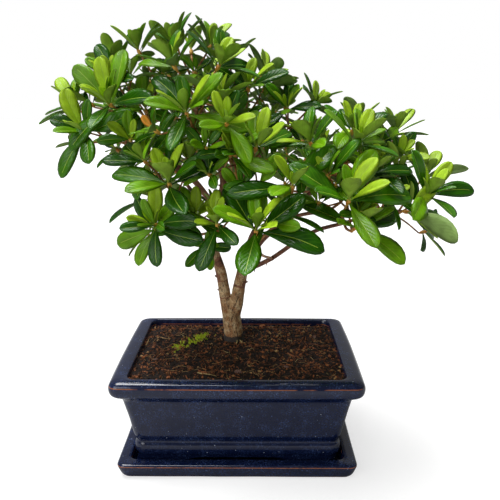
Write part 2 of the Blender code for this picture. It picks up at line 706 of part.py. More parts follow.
def build_skeletons(routes, parts):
    """Each mass's stem and twigs, from its bough's end to its shoots."""
    skeletons = {}
    for bough in {mass.bough: None for mass in MASSES}:
        family = [mass for mass in MASSES if mass.bough == bough]
        route, radii = routes[bough]
        hubs = []
        for mass in family:
            depth = HUB_DEPTH if mass.shoots > 1 else LONE_HUB_DEPTH
            hubs.append(Vector(mass.heart) - heading_vector(*mass.heading) * depth * mass.leaf)
        children = [(hub, STEM_RADIUS) for hub in hubs]
        limbs_there = [limb for limb in LIMBS if limb.parent == bough and limb.share == 1]
        children += [(Vector((limb.through or [limb.tip])[0]), limb.radii[0]) for limb in limbs_there]
        starts = fan_starts(route[-1], limb_direction(route), radii[1], children)
        for mass, hub, start in zip(family, hubs, starts):
            pieces = [stick(f"{mass.name}_stem", start, hub, (STEM_RADIUS, TWIG_RADII[0]), parts, 5)]
            for k, (place, axis) in enumerate(shoots_of(mass)):
                base = hub + (hub - place).normalized() * TWIG_INTO_STEM
                foot = place - axis * BUD_LENGTH * TWIG_TO_BUD
                pieces.append(stick(f"{mass.name}_twig_{k}", base, foot, TWIG_RADII, parts))
                pieces.append(bud(f"{mass.name}_bud_{k}", place, axis, parts))
            skeletons[mass.name] = pieces
    return skeletons


def grow_leaves(mass, own, others, leaves_so_far):
    """The leaves that find room: clear of every limb, twig and leaf but their own root."""
    rng = random.Random(mass.name)
    grown = []
    for number, (place, axis) in enumerate(shoots_of(mass)):
        turn = math.radians(mass.turn) + number * NEXT_SHOOT_TURN
        for leaf in leaves_of(place, axis, mass.leaf, mass.spread, turn, rng):
            for scale in LEAF_TRIES:
                full = leaf_shape(leaf, scale, margin=GAP)
                if min(point.z for point in full[0]) < LOWEST_LEAF:
                    continue
                middle = leaf.root + leaf.heading * leaf.length * scale / 2
                radius = leaf.length * LEAF_BALL + GAP
                whole, blade = tree_of(*full), tree_of(*leaf_shape(leaf, scale, GAP, BLADE_FROM))
                if any(one.meets(whole, middle, radius) for one in others + leaves_so_far):
                    continue
                if any(one.meets(blade, middle, radius) for one in own + [b for _, _, b in grown]):
                    continue
                grown.append((leaf, scale, blocker_of_leaf(leaf, scale, BLADE_FROM)))
                break
    return [(leaf, scale) for leaf, scale, _ in grown]


def leaf_object(name, leaf, scale, collection):
    points, faces = leaf_shape(leaf, scale)
    bm = bmesh.new()
    corners = [bm.verts.new(point) for point in points]
    for face in faces:
        bm.faces.new([corners[i] for i in face])
    return object_from_bmesh(name, bm, collection)


def build_foliage(routes, solids, parts):
    skeletons = build_skeletons(routes, parts)
    blockers = {name: [blocker_of_object(piece) for piece in pieces] for name, pieces in skeletons.items()}
    solid_blockers = [blocker_of_object(made) for made in solids]
    leaves_so_far = []
    masses = []
    for mass in MASSES:
        others = solid_blockers + [b for name, some in blockers.items() if name != mass.name for b in some]
        grown = grow_leaves(mass, blockers[mass.name], others, leaves_so_far)
        leaves_so_far += [blocker_of_leaf(leaf, scale) for leaf, scale in grown]
        pieces = skeletons[mass.name]
        for k, (leaf, scale) in enumerate(grown):
            pieces.append(leaf_object(f"{mass.name}_leaf_{k}", leaf, scale, parts))
        for piece in pieces[1:]:
            parts.objects.unlink(piece)
        masses.append(joined(pieces[0], pieces[1:], f"foliage_{mass.name}"))
    return masses


# ------------------------------------------------------------------ the whole plant
def main():
    clear_scene()
    parts = new_collection("azalea_bonsai")
    cutters = new_collection("cutters")
    glaze = plain_material("glaze", (0.012, 0.017, 0.045), 0.2)
    peat = plain_material("peat", (0.02, 0.012, 0.008), 0.95)
    bark = plain_material("bark", (0.13, 0.08, 0.05), 0.85)
    leaf_green = plain_material("leaf_green", (0.06, 0.17, 0.02), 0.4)

    pot, saucer, soil = build_pot(parts, cutters), build_saucer(parts), build_soil(parts)
    trunk, arm_routes = build_trunk(parts)
    routes, limbs = build_limbs(arm_routes, parts)
    masses = build_foliage(routes, [pot, soil, trunk, *limbs.values()], parts)
    for material, group in ((glaze, [pot, saucer]), (peat, [soil]), (bark, [trunk, *limbs.values()]),
                            (leaf_green, masses)):
        for made in group:
            made.data.materials.clear()
            made.data.materials.append(material)


main()
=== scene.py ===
"""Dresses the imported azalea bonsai: glazed pot and saucer, peat, bark, twigs and leaves.

The origin is the middle of the saucer's underside. +Z is up, +X is the right end of the pot
and -Y its front. Sizes are in millimetres and are turned into metres by MM.
"""

import json
import math
import random
from collections import namedtuple

import bmesh
import bpy
import numpy as np
from mathutils import Matrix, Vector, noise
from mathutils.bvhtree import BVHTree
from mathutils.kdtree import KDTree

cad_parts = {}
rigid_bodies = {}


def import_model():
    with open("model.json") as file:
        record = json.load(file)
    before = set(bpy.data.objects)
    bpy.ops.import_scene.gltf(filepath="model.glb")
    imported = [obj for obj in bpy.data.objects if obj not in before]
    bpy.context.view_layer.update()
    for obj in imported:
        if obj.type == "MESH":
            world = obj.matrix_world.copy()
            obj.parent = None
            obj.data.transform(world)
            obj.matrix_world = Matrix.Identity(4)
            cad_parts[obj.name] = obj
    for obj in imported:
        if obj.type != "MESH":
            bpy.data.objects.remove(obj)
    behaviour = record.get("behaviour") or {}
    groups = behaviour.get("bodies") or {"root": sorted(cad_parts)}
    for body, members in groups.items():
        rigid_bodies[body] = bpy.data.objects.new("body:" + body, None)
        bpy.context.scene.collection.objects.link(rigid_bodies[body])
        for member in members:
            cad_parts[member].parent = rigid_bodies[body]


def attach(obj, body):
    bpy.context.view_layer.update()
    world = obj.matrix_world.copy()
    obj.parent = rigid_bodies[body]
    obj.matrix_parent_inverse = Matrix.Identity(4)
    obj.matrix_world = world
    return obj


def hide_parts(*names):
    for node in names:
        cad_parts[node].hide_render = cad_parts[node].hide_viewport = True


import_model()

MM = 0.001
UP = Vector((0, 0, 1))
SHARE, BELOW, ABOVE, MIXED = 0, 6, 7, 2  # a colour mix's sockets: how much of ABOVE is laid over BELOW
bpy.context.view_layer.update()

# ------------------------------------------------------------------ sizes of the pot
RIM_LENGTH = 150
RIM_WIDTH = 112.5
SIDE_BOW = 0.9  # the sides of the rim bow out by this much in the middle
SAUCER_LENGTH = 145.2
SAUCER_WIDTH = 108.9
SAUCER_FLOOR = 3.3
FOOT_BOTTOM = 3.6
CORNER_STEPS = 10
SIDE_STEPS = 12
ROUNDING_PASSES = 2  # how often a profile's corners are cut, as a glaze softens them
GLAZE_WAVES = 0.22  # the glaze and the hand-pressed clay are uneven by this much,
WAVE_LENGTH = 22  # in waves about this long,
WAVE_SQUASH = 1.6  # and this many times shorter up the wall
SHARP_EDGE = math.radians(40)

Ring = namedtuple("Ring", "inset height corner")
POT_OUTSIDE = (
    Ring(14.0, FOOT_BOTTOM, 7),
    Ring(13.2, 5.5, 7),
    Ring(13.0, 9.6, 7),
    Ring(12.1, 10.8, 7),
    Ring(11.5, 13.5, 7),
    Ring(11.7, 16.8, 7),
    Ring(12.8, 18.9, 6),
    Ring(12.2, 21.2, 6),
    Ring(11.5, 22.4, 6),
    Ring(10.3, 29.0, 6),
    Ring(8.7, 38.0, 6),
    Ring(7.1, 46.0, 6),
    Ring(6.3, 49.6, 6),
    Ring(3.2, 52.4, 6),
    Ring(0.9, 53.8, 6),
    Ring(0.0, 57.0, 6),
    Ring(0.1, 60.0, 6),
    Ring(1.5, 62.2, 5),
    Ring(4.2, 63.4, 5),
)
RIM_TOP = POT_OUTSIDE[-1].height
RIM_FLAT = Vector((9.5, 6.5))  # width of the rim's top at the short and at the long sides
OPENING_CORNER = 6
INSIDE_WALL = ((0.0, RIM_TOP), (0.6, 62.4), (1.4, 56.0), (4.5, 48.0), (9.0, 24.0), (10.0, 13.0))
POT_UNDERSIDE = 8.2
FOOT_WIDTH = 6.5
FOOT_ROUNDING = 0.9
FOOT_CORNERS = (3, 6)  # inside and outside
ARCH_TOP = 8.3
ARCH_STEPS = 16
ARCH_BELOW = 1  # the cutter starts this far under the foot
ARCH_SPANS = {"long": (84, 44), "short": (56, 28)}  # at the floor, and where it is highest
SAUCER_RINGS = (
    Ring(3.4, 0.0, 6),
    Ring(1.8, 1.0, 6),
    Ring(0.5, 6.0, 5),
    Ring(0.0, 7.9, 5),
    Ring(0.6, 9.0, 5),
    Ring(2.0, 9.5, 4),
    Ring(6.8, 9.5, 4),
    Ring(7.6, 8.9, 4),
    Ring(9.0, SAUCER_FLOOR, 4),
)
SOIL_EDGE = 59.6
SOIL_TOP = 61.5


# ------------------------------------------------------------------ small helpers
def colour(code):
    """An sRGB hex colour as linear RGBA."""
    channels = [int(code[i:i + 2], 16) / 255 for i in (1, 3, 5)]
    linear = [c / 12.92 if c <= 0.04045 else ((c + 0.055) / 1.055) ** 2.4 for c in channels]
    return (*linear, 1.0)


def add_node(tree, kind, inputs, **settings):
    """Adds a node with its settings, and gives each input a value or links it to another output."""
    node = tree.nodes.new(kind)
    for name, value in settings.items():
        if name == "stops":
            ramp = node.color_ramp.elements
            while len(ramp) < len(value):
                ramp.new(0.5)
            for stop, (position, shade) in zip(ramp, value):
                stop.position = position
                stop.color = shade
        else:
            setattr(node, name, value)
    for name, value in inputs.items():
        if isinstance(value, bpy.types.NodeSocket):
            tree.links.new(value, node.inputs[name])
        else:
            node.inputs[name].default_value = value
    return node


def new_material(name):
    """An empty surface: its node tree and its principled shader."""
    material = bpy.data.materials.new(name)
    material.use_nodes = True
    return material, material.node_tree, material.node_tree.nodes["Principled BSDF"]


def piece_from_mesh(name, mesh, materials):
    """A piece in the scene, with its finishes in the order of their slots."""
    made = bpy.data.objects.new(name, mesh)
    bpy.context.scene.collection.objects.link(made)
    for material in materials:
        mesh.materials.append(material)
    return made


def piece_from_bmesh(name, bm, materials):
    """A smooth-shaded piece, in metres, from a bmesh in millimetres."""
    bmesh.ops.scale(bm, vec=(MM, MM, MM), verts=bm.verts)
    for face in bm.faces:
        face.smooth = True
    mesh = bpy.data.meshes.new(name)
    bm.to_mesh(mesh)
    bm.free()
    return piece_from_mesh(name, mesh, materials)


def evaluated_mesh(made):
    """A piece's mesh with its modifiers worked out."""
    bpy.context.view_layer.update()
    return bpy.data.meshes.new_from_object(made.evaluated_get(bpy.context.evaluated_depsgraph_get()))


def smooth_step(low, high, value):
    """0 up to low, 1 from high on, and a smooth rise between them."""
    t = min(1.0, max(0.0, (value - low) / (high - low)))
    return t * t * (3 - 2 * t)


class Batch:
    """Many small shapes gathered into one mesh: corners, faces, and a material slot for each face."""

    def __init__(self):
        self.points, self.faces, self.slots, self.uvs = [], [], [], []

    def add(self, points, faces, slots, uvs=None):
        """Adds a shape, whose faces have one slot for all of them or a slot each."""
        first = len(self.points)
        self.points += points
        self.faces += [tuple(first + i for i in face) for face in faces]
        self.slots += [slots] * len(faces) if isinstance(slots, int) else slots
        if uvs is not None:
            self.uvs += [uvs[i] for face in faces for i in face]

    def piece(self, name, materials, smooth=True):
        """The gathered shapes as one piece, in metres."""
        mesh = bpy.data.meshes.new(name)
        mesh.from_pydata([tuple(c * MM for c in point) for point in self.points], [], self.faces)
        mesh.polygons.foreach_set("material_index", self.slots)
        mesh.polygons.foreach_set("use_smooth", [smooth] * len(self.faces))
        if self.uvs:
            layer = mesh.uv_layers.new(name="blade")
            layer.uv.foreach_set("vector", [c for uv in self.uvs for c in uv])
        mesh.update()
        return piece_from_mesh(name, mesh, materials)


# ------------------------------------------------------------------ finishes
THIN_CORE = 0.35  # of a thin line of glaze, whose rust is full this far out from its middle
FOOT_SHADE_RISE = 1.2  # painted shade darkens the trunk's foot to this far above the soil, and further by a part of this, as its bark lies
FOOT_SHADE_WANDER = 6  # and further by a part of this, as its bark lies
SIDE_VEINS = 9  # on each half of a leaf
SIDE_VEIN_SLANT = 0.42  # of the leaf's length, by which a side vein nears the tip on its way to the edge
SIDE_VEIN_WIDTH = 0.16  # to each side, of the space from vein to vein
EDGE_HIGHLIGHT_FROM = 0.88  # the painted edge highlight starts this far out from the midrib
LEAF_IOR = 1.34


def stoneware_glaze(name, break_height, footing):
    """Stoneware dipped in a cobalt glaze and fired glossy: deep navy where it pools in grooves,
    slate on the faces with pale pinholes and cloudy crystals, and rust where it runs thin off an edge.
    break_height is where the widest edge lies, and footing where the glaze was wiped at the bottom."""
    material, tree, surface = new_material(name)
    place = add_node(tree, "ShaderNodeTexCoord", {}).outputs["Object"]
    height = add_node(tree, "ShaderNodeSeparateXYZ", {"Vector": place}).outputs["Z"]
    # Clouds about 9 mm across, filled with crystals of 0.9 mm.
    clouds = add_node(tree, "ShaderNodeTexNoise", {"Vector": place, "Scale": 1 / (9 * MM), "Detail": 5.0,
                                                   "Roughness": 0.6})
    cloud_mask = add_node(tree, "ShaderNodeMapRange", {"Value": clouds.outputs["Fac"], "From Min": 0.42,
                                                       "From Max": 0.74})
    mist = add_node(tree, "ShaderNodeTexNoise", {"Vector": place, "Scale": 1 / (0.9 * MM), "Detail": 3.0})
    mist_mask = add_node(tree, "ShaderNodeMapRange", {"Value": mist.outputs["Fac"], "From Min": 0.46,
                                                      "From Max": 0.66})
    crystal = add_node(tree, "ShaderNodeMath", {0: cloud_mask.outputs[0], 1: mist_mask.outputs[0]},
                       operation="MULTIPLY")
    # A few pinholes, about 0.3 mm wide and drawn 0.5 mm wide so that they show.
    pinholes = add_node(tree, "ShaderNodeTexVoronoi", {"Vector": place, "Scale": 1 / (3.4 * MM)})
    pinhole_mask = add_node(tree, "ShaderNodeMapRange", {"Value": pinholes.outputs["Distance"],
                                                         "From Min": 0.10, "From Max": 0.05})
    scarce = add_node(tree, "ShaderNodeMapRange", {"Value": pinholes.outputs["Color"], "From Min": 0.62,
                                                   "From Max": 0.66})
    fleck = add_node(tree, "ShaderNodeMath", {0: pinhole_mask.outputs[0], 1: scarce.outputs[0]},
                     operation="MULTIPLY")
    # Pale dust in the glaze, finer than 0.3 mm and drawn 0.6 mm wide, one speck in 1.5 mm.
    salt = add_node(tree, "ShaderNodeTexVoronoi", {"Vector": place, "Scale": 1 / (1.5 * MM)})
    salt_mask = add_node(tree, "ShaderNodeMapRange", {"Value": salt.outputs["Distance"], "From Min": 0.30,
                                                      "From Max": 0.12})
    sparse = add_node(tree, "ShaderNodeMapRange", {"Value": salt.outputs["Color"], "From Min": 0.60,
                                                   "From Max": 0.90})
    dust = add_node(tree, "ShaderNodeMath", {0: salt_mask.outputs[0], 1: sparse.outputs[0]},
                    operation="MULTIPLY")

    base = add_node(tree, "ShaderNodeMix", {SHARE: crystal.outputs[0], BELOW: colour("#0d1736"),
                                            ABOVE: colour("#3a4d7a")}, data_type="RGBA")
    base = add_node(tree, "ShaderNodeMix", {SHARE: dust.outputs[0], BELOW: base.outputs[MIXED],
                                            ABOVE: colour("#4a5f8c")}, data_type="RGBA")
    base = add_node(tree, "ShaderNodeMix", {SHARE: fleck.outputs[0], BELOW: base.outputs[MIXED],
                                            ABOVE: colour("#aeb6c4")}, data_type="RGBA")
    # Rust where the glaze runs thin: off the widest edge, and above the wiped foot.
    for middle, half_width, strength in ((break_height, 0.34, 0.95), (footing, 0.45, 0.8)):
        away = add_node(tree, "ShaderNodeMath", {0: height, 1: middle * MM}, operation="SUBTRACT")
        away = add_node(tree, "ShaderNodeMath", {0: away.outputs[0]}, operation="ABSOLUTE")
        thin = add_node(tree, "ShaderNodeMapRange", {"Value": away.outputs[0], "From Min": half_width * MM,
                                                     "From Max": half_width * THIN_CORE * MM,
                                                     "To Max": strength})
        broken = add_node(tree, "ShaderNodeMapRange", {"Value": clouds.outputs["Fac"], "From Min": 0.36,
                                                       "From Max": 0.5})
        thin = add_node(tree, "ShaderNodeMath", {0: thin.outputs[0], 1: broken.outputs[0]},
                        operation="MULTIPLY")
        base = add_node(tree, "ShaderNodeMix", {SHARE: thin.outputs[0], BELOW: base.outputs[MIXED],
                                                ABOVE: colour("#a5623a")}, data_type="RGBA")
    ripple = add_node(tree, "ShaderNodeTexNoise", {"Vector": place, "Scale": 1 / (2.6 * MM), "Detail": 2.0})
    bump = add_node(tree, "ShaderNodeBump", {"Height": ripple.outputs["Fac"], "Strength": 0.10,
                                             "Distance": 0.3 * MM})
    gloss = add_node(tree, "ShaderNodeMapRange", {"Value": crystal.outputs[0], "To Min": 0.13,
                                                  "To Max": 0.34})
    tree.links.new(base.outputs[MIXED], surface.inputs["Base Color"])
    tree.links.new(gloss.outputs[0], surface.inputs["Roughness"])
    tree.links.new(bump.outputs["Normal"], surface.inputs["Normal"])
    surface.inputs["IOR"].default_value = 1.52
    return material


def damp_peat(name, dark, light, grain):
    """Milled peat, damp and matt: near black in its pores, brown where a crumb has dried. The pores' dark
    follows the low places of its bump and is partly painted shade. grain is the size of its specks in
    millimetres."""
    material, tree, surface = new_material(name)
    place = add_node(tree, "ShaderNodeTexCoord", {}).outputs["Object"]
    specks = add_node(tree, "ShaderNodeTexNoise", {"Vector": place, "Scale": 1 / (grain * MM), "Detail": 4.0,
                                                   "Roughness": 0.65})
    # The same noise sets colour and bump: the low pores are near black, their own dark deepened by painted
    # shade.
    shade = add_node(tree, "ShaderNodeValToRGB", {"Fac": specks.outputs["Fac"]},
                     stops=((0.42, colour(dark)), (0.64, colour(light))))
    bump = add_node(tree, "ShaderNodeBump", {"Height": specks.outputs["Fac"], "Strength": 0.6,
                                             "Distance": 0.4 * MM})
    tree.links.new(shade.outputs["Color"], surface.inputs["Base Color"])
    tree.links.new(bump.outputs["Normal"], surface.inputs["Normal"])
    surface.inputs["Roughness"].default_value = 0.82
    surface.inputs["Specular IOR Level"].default_value = 0.35
    return material


def plant_fibre(name, dark, light, roughness):
    """Dry root, chip or moss: a plain plant fibre, matt, streaked every 0.8 mm."""
    material, tree, surface = new_material(name)
    place = add_node(tree, "ShaderNodeTexCoord", {}).outputs["Object"]
    streaks = add_node(tree, "ShaderNodeTexNoise", {"Vector": place, "Scale": 1 / (0.8 * MM), "Detail": 3.0})
    shade = add_node(tree, "ShaderNodeValToRGB", {"Fac": streaks.outputs["Fac"]},
                     stops=((0.35, colour(dark)), (0.65, colour(light))))
    tree.links.new(shade.outputs["Color"], surface.inputs["Base Color"])
    surface.inputs["Roughness"].default_value = roughness
    return material


def azalea_bark(name):
    """Azalea bark: fissured grey-tan plates on the old trunk, warm brown between them, going to a smooth
    reddish brown on young boughs. The cracks come with the mesh, as its attribute 'crack', and so does
    its age, as 'youth'; the cracks are painted near black, partly with painted shade. A bluish dark band
    of painted shade stands on the soil at the trunk's foot."""
    material, tree, surface = new_material(name)
    place = add_node(tree, "ShaderNodeTexCoord", {}).outputs["Object"]
    crack = add_node(tree, "ShaderNodeAttribute", {}, attribute_name="crack").outputs["Fac"]
    youth = add_node(tree, "ShaderNodeAttribute", {}, attribute_name="youth").outputs["Fac"]
    plates = add_node(tree, "ShaderNodeTexNoise", {"Vector": place, "Scale": 1 / (4 * MM), "Detail": 5.0,
                                                   "Roughness": 0.62})
    grain = add_node(tree, "ShaderNodeTexNoise", {"Vector": place, "Scale": 1 / (0.7 * MM), "Detail": 3.0})
    old = add_node(tree, "ShaderNodeValToRGB", {"Fac": plates.outputs["Fac"]},
                   stops=((0.34, colour("#9c6236")), (0.50, colour("#b48d62")), (0.66, colour("#dcc094"))))
    young = add_node(tree, "ShaderNodeValToRGB", {"Fac": plates.outputs["Fac"]},
                     stops=((0.36, colour("#5e3829")), (0.62, colour("#96644a"))))
    base = add_node(tree, "ShaderNodeMix", {SHARE: youth, BELOW: old.outputs["Color"],
                                            ABOVE: young.outputs["Color"]}, data_type="RGBA")
    # The cracks are painted near black: their own dark bark, deepened by painted shade in them.
    deep = add_node(tree, "ShaderNodeMix", {SHARE: crack, BELOW: base.outputs[MIXED],
                                            ABOVE: colour("#2c1d15")}, data_type="RGBA")
    speckle = add_node(tree, "ShaderNodeMapRange", {"Value": grain.outputs["Fac"], "From Min": 0.3,
                                                    "From Max": 0.7, "To Min": 0.72, "To Max": 1.2})
    mottled = add_node(tree, "ShaderNodeMix", {SHARE: 1.0, BELOW: deep.outputs[MIXED],
                                               ABOVE: speckle.outputs[0]},
                       data_type="RGBA", blend_type="MULTIPLY")
    # Painted shade at the trunk's foot: a bluish dark band rising from the soil, uneven as the plates.
    height = add_node(tree, "ShaderNodeSeparateXYZ", {"Vector": place}).outputs["Z"]
    rising = add_node(tree, "ShaderNodeMath", {0: plates.outputs["Fac"], 1: FOOT_SHADE_WANDER * MM,
                                               2: (SOIL_TOP + FOOT_SHADE_RISE) * MM}, operation="MULTIPLY_ADD")
    below = add_node(tree, "ShaderNodeMath", {0: rising.outputs[0], 1: height}, operation="SUBTRACT")
    foot_shade = add_node(tree, "ShaderNodeMapRange", {"Value": below.outputs[0], "From Min": -0.3 * MM,
                                                "From Max": 0.6 * MM, "To Max": 0.92})
    with_foot_shade = add_node(tree, "ShaderNodeMix", {SHARE: foot_shade.outputs[0], BELOW: mottled.outputs[MIXED],
                                              ABOVE: colour("#1b2328")}, data_type="RGBA")
    bump = add_node(tree, "ShaderNodeBump", {"Height": grain.outputs["Fac"], "Strength": 0.5,
                                             "Distance": 0.25 * MM})
    tree.links.new(with_foot_shade.outputs[MIXED], surface.inputs["Base Color"])
    tree.links.new(bump.outputs["Normal"], surface.inputs["Normal"])
    surface.inputs["Roughness"].default_value = 0.78
    return material


def young_wood(name, dark, light):
    """One-year azalea wood, the swollen end of a shoot or a bud: a smooth, half-matt skin with soft
    blotches every 3 mm."""
    material, tree, surface = new_material(name)
    place = add_node(tree, "ShaderNodeTexCoord", {}).outputs["Object"]
    blotch = add_node(tree, "ShaderNodeTexNoise", {"Vector": place, "Scale": 1 / (3 * MM), "Detail": 3.0})
    shade = add_node(tree, "ShaderNodeValToRGB", {"Fac": blotch.outputs["Fac"]},
                     stops=((0.36, colour(dark)), (0.62, colour(light))))
    tree.links.new(shade.outputs["Color"], surface.inputs["Base Color"])
    surface.inputs["Roughness"].default_value = 0.5
    return material


def azalea_leaf(name, green, vein, roughness, vein_strength):
    """An evergreen azalea leaf. The upper skin is waxed and shiny, the lower one matt; its side veins
    leave the midrib every 3 to 4 mm and show a little paler, and the blade is quilted between them.
    Its edge carries a painted highlight, mixed towards the vein colour."""
    material, tree, surface = new_material(name)
    along = add_node(tree, "ShaderNodeUVMap", {}, uv_map="blade").outputs["UV"]
    parts = add_node(tree, "ShaderNodeSeparateXYZ", {"Vector": along})
    # Each side vein starts at the midrib, where the first coordinate is 0, and slants to the tip. It is
    # 0.3 mm wide, and drawn 1 mm wide with soft sides, so that it shows.
    slant = add_node(tree, "ShaderNodeMath", {0: parts.outputs["X"], 1: -SIDE_VEIN_SLANT,
                                              2: parts.outputs["Y"]}, operation="MULTIPLY_ADD")
    turns = add_node(tree, "ShaderNodeMath", {0: slant.outputs[0], 1: SIDE_VEINS}, operation="MULTIPLY")
    step = add_node(tree, "ShaderNodeMath", {0: turns.outputs[0]}, operation="FRACT")
    away = add_node(tree, "ShaderNodeMath", {0: step.outputs[0], 1: 0.5}, operation="SUBTRACT")
    away = add_node(tree, "ShaderNodeMath", {0: away.outputs[0]}, operation="ABSOLUTE")
    side_vein = add_node(tree, "ShaderNodeMapRange", {"Value": away.outputs[0], "From Min": SIDE_VEIN_WIDTH,
                                                      "From Max": 0.0, "To Max": vein_strength})
    place = add_node(tree, "ShaderNodeTexCoord", {}).outputs["Object"]
    mottle = add_node(tree, "ShaderNodeTexNoise", {"Vector": place, "Scale": 1 / (7 * MM), "Detail": 4.0})
    tone = add_node(tree, "ShaderNodeMapRange", {"Value": mottle.outputs["Fac"], "From Min": 0.3,
                                                 "From Max": 0.7, "To Min": 0.72, "To Max": 1.3})
    blade = add_node(tree, "ShaderNodeMix", {SHARE: 1.0, BELOW: colour(green), ABOVE: tone.outputs[0]},
                     data_type="RGBA", blend_type="MULTIPLY")
    veined = add_node(tree, "ShaderNodeMix", {SHARE: side_vein.outputs[0], BELOW: blade.outputs[MIXED],
                                              ABOVE: colour(vein)}, data_type="RGBA")
    # Painted highlight along the curled edge: mixed towards the vein colour, paler than the blade on all but
    # the newest leaves.
    edge = add_node(tree, "ShaderNodeMapRange", {"Value": parts.outputs["X"], "From Min": EDGE_HIGHLIGHT_FROM,
                                                 "From Max": 1.0, "To Max": 0.5})
    veined = add_node(tree, "ShaderNodeMix", {SHARE: edge.outputs[0], BELOW: veined.outputs[MIXED],
                                              ABOVE: colour(vein)}, data_type="RGBA")
    bump = add_node(tree, "ShaderNodeBump", {"Height": away.outputs[0], "Strength": 0.35,
                                             "Distance": 0.5 * MM})
    tree.links.new(veined.outputs[MIXED], surface.inputs["Base Color"])
    tree.links.new(bump.outputs["Normal"], surface.inputs["Normal"])
    surface.inputs["Roughness"].default_value = roughness
    surface.inputs["IOR"].default_value = LEAF_IOR
    return material


def waxy_rib(name, tint):
    """A leaf's midrib: a smooth cord of pale tissue, waxy."""
    material, tree, surface = new_material(name)
    place = add_node(tree, "ShaderNodeTexCoord", {}).outputs["Object"]
    mottle = add_node(tree, "ShaderNodeTexNoise", {"Vector": place, "Scale": 1 / (5 * MM)})
    tone = add_node(tree, "ShaderNodeMapRange", {"Value": mottle.outputs["Fac"], "To Min": 0.8,
                                                 "To Max": 1.15})
    shade = add_node(tree, "ShaderNodeMix", {SHARE: 1.0, BELOW: colour(tint), ABOVE: tone.outputs[0]},
                     data_type="RGBA", blend_type="MULTIPLY")
    tree.links.new(shade.outputs[MIXED], surface.inputs["Base Color"])
    surface.inputs["Roughness"].default_value = 0.4
    return material


# ------------------------------------------------------------------ pot and saucer
def rounded_ring(half_length, half_width, height, corner, bow=0.0):
    """Points round a rectangle with round corners, whose sides bow out smoothly in the middle."""
    points = []
    for quarter in range(4):
        side_x = 1 if quarter in (0, 3) else -1
        side_y = 1 if quarter in (0, 1) else -1
        middle = Vector((side_x * (half_length - corner), side_y * (half_width - corner)))
        for step in range(CORNER_STEPS + 1):
            turn = math.radians(90) * (quarter + step / CORNER_STEPS)
            points.append(middle + corner * Vector((math.cos(turn), math.sin(turn))))
        following = points[-1].copy()
        if quarter in (0, 2):
            following.x = -following.x
        else:
            following.y = -following.y
        points += [points[-1].lerp(following, step / SIDE_STEPS) for step in range(1, SIDE_STEPS)]
    ring = []
    for x, y in points:
        wide = 1 + bow / half_length * (1 - (y / half_width) ** 2)
        deep = 1 + bow / half_width * (1 - (x / half_length) ** 2)
        ring.append(Vector((x * wide, y * deep, height)))
    return ring


def softened(profile):
    """A profile with its corners cut a few times over, its two ends kept."""
    for _ in range(ROUNDING_PASSES):
        cut = [profile[0]]
        for a, b in zip(profile, profile[1:]):
            cut += [a.lerp(b, 0.25), a.lerp(b, 0.75)]
        profile = [*cut, profile[-1]]
    return profile


def thrown(name, profile, length, width, material):
    """A closed body over a profile of (inset x, inset y, height, corner, bow)."""
    bm = bmesh.new()
    loops = []
    for inset_x, inset_y, height, corner, bow in softened([Vector(row) for row in profile]):
        ring = rounded_ring(length / 2 - inset_x, width / 2 - inset_y, height, corner, bow)
        for point in ring:
            place = Vector((point.x, point.y, point.z * WAVE_SQUASH)) / WAVE_LENGTH
            wave = noise.noise(place) * GLAZE_WAVES
            point.xy *= 1 + wave / Vector((point.x, point.y)).length
        loops.append([bm.verts.new(point) for point in ring])
    for lower, upper in zip(loops, loops[1:]):
        for i, j in zip(range(len(lower)), [*range(1, len(lower)), 0]):
            bm.faces.new((lower[i], lower[j], upper[j], upper[i]))
    bm.faces.new(reversed(loops[0]))
    bm.faces.new(loops[-1])
    return piece_from_bmesh(name, bm, [material])


def arch_cutter(spans, length):
    """A low arch between two feet, cut right through the foot ring."""
    floor_span, top_span = spans
    outline = []
    for step in range(ARCH_STEPS + 1):
        share = step / ARCH_STEPS
        x = (floor_span + (top_span - floor_span) * share) / 2
        outline.append((x, (ARCH_TOP - FOOT_BOTTOM) * (1 - math.cos(math.pi * share)) / 2))
    outline += [(-x, lift) for x, lift in reversed(outline)]
    outline += [(-floor_span / 2, -ARCH_BELOW), (floor_span / 2, -ARCH_BELOW)]
    bm = bmesh.new()
    near = [bm.verts.new((x, -length / 2, lift + FOOT_BOTTOM)) for x, lift in outline]
    far = [bm.verts.new((x, length / 2, lift + FOOT_BOTTOM)) for x, lift in outline]
    bm.faces.new(near)
    bm.faces.new(reversed(far))
    for i, j in zip(range(len(near)), [*range(1, len(near)), 0]):
        bm.faces.new((near[j], near[i], far[i], far[j]))
    bmesh.ops.recalc_face_normals(bm, faces=bm.faces)
    return piece_from_bmesh("arch_cutter", bm, [])


def crease(mesh, angle):
    """Keeps edges sharper than this angle sharp in the shading."""
    bm = bmesh.new()
    bm.from_mesh(mesh)
    for edge in bm.edges:
        if len(edge.link_faces) == 2 and edge.calc_face_angle(0) > angle:
            edge.smooth = False
    bm.to_mesh(mesh)
    bm.free()


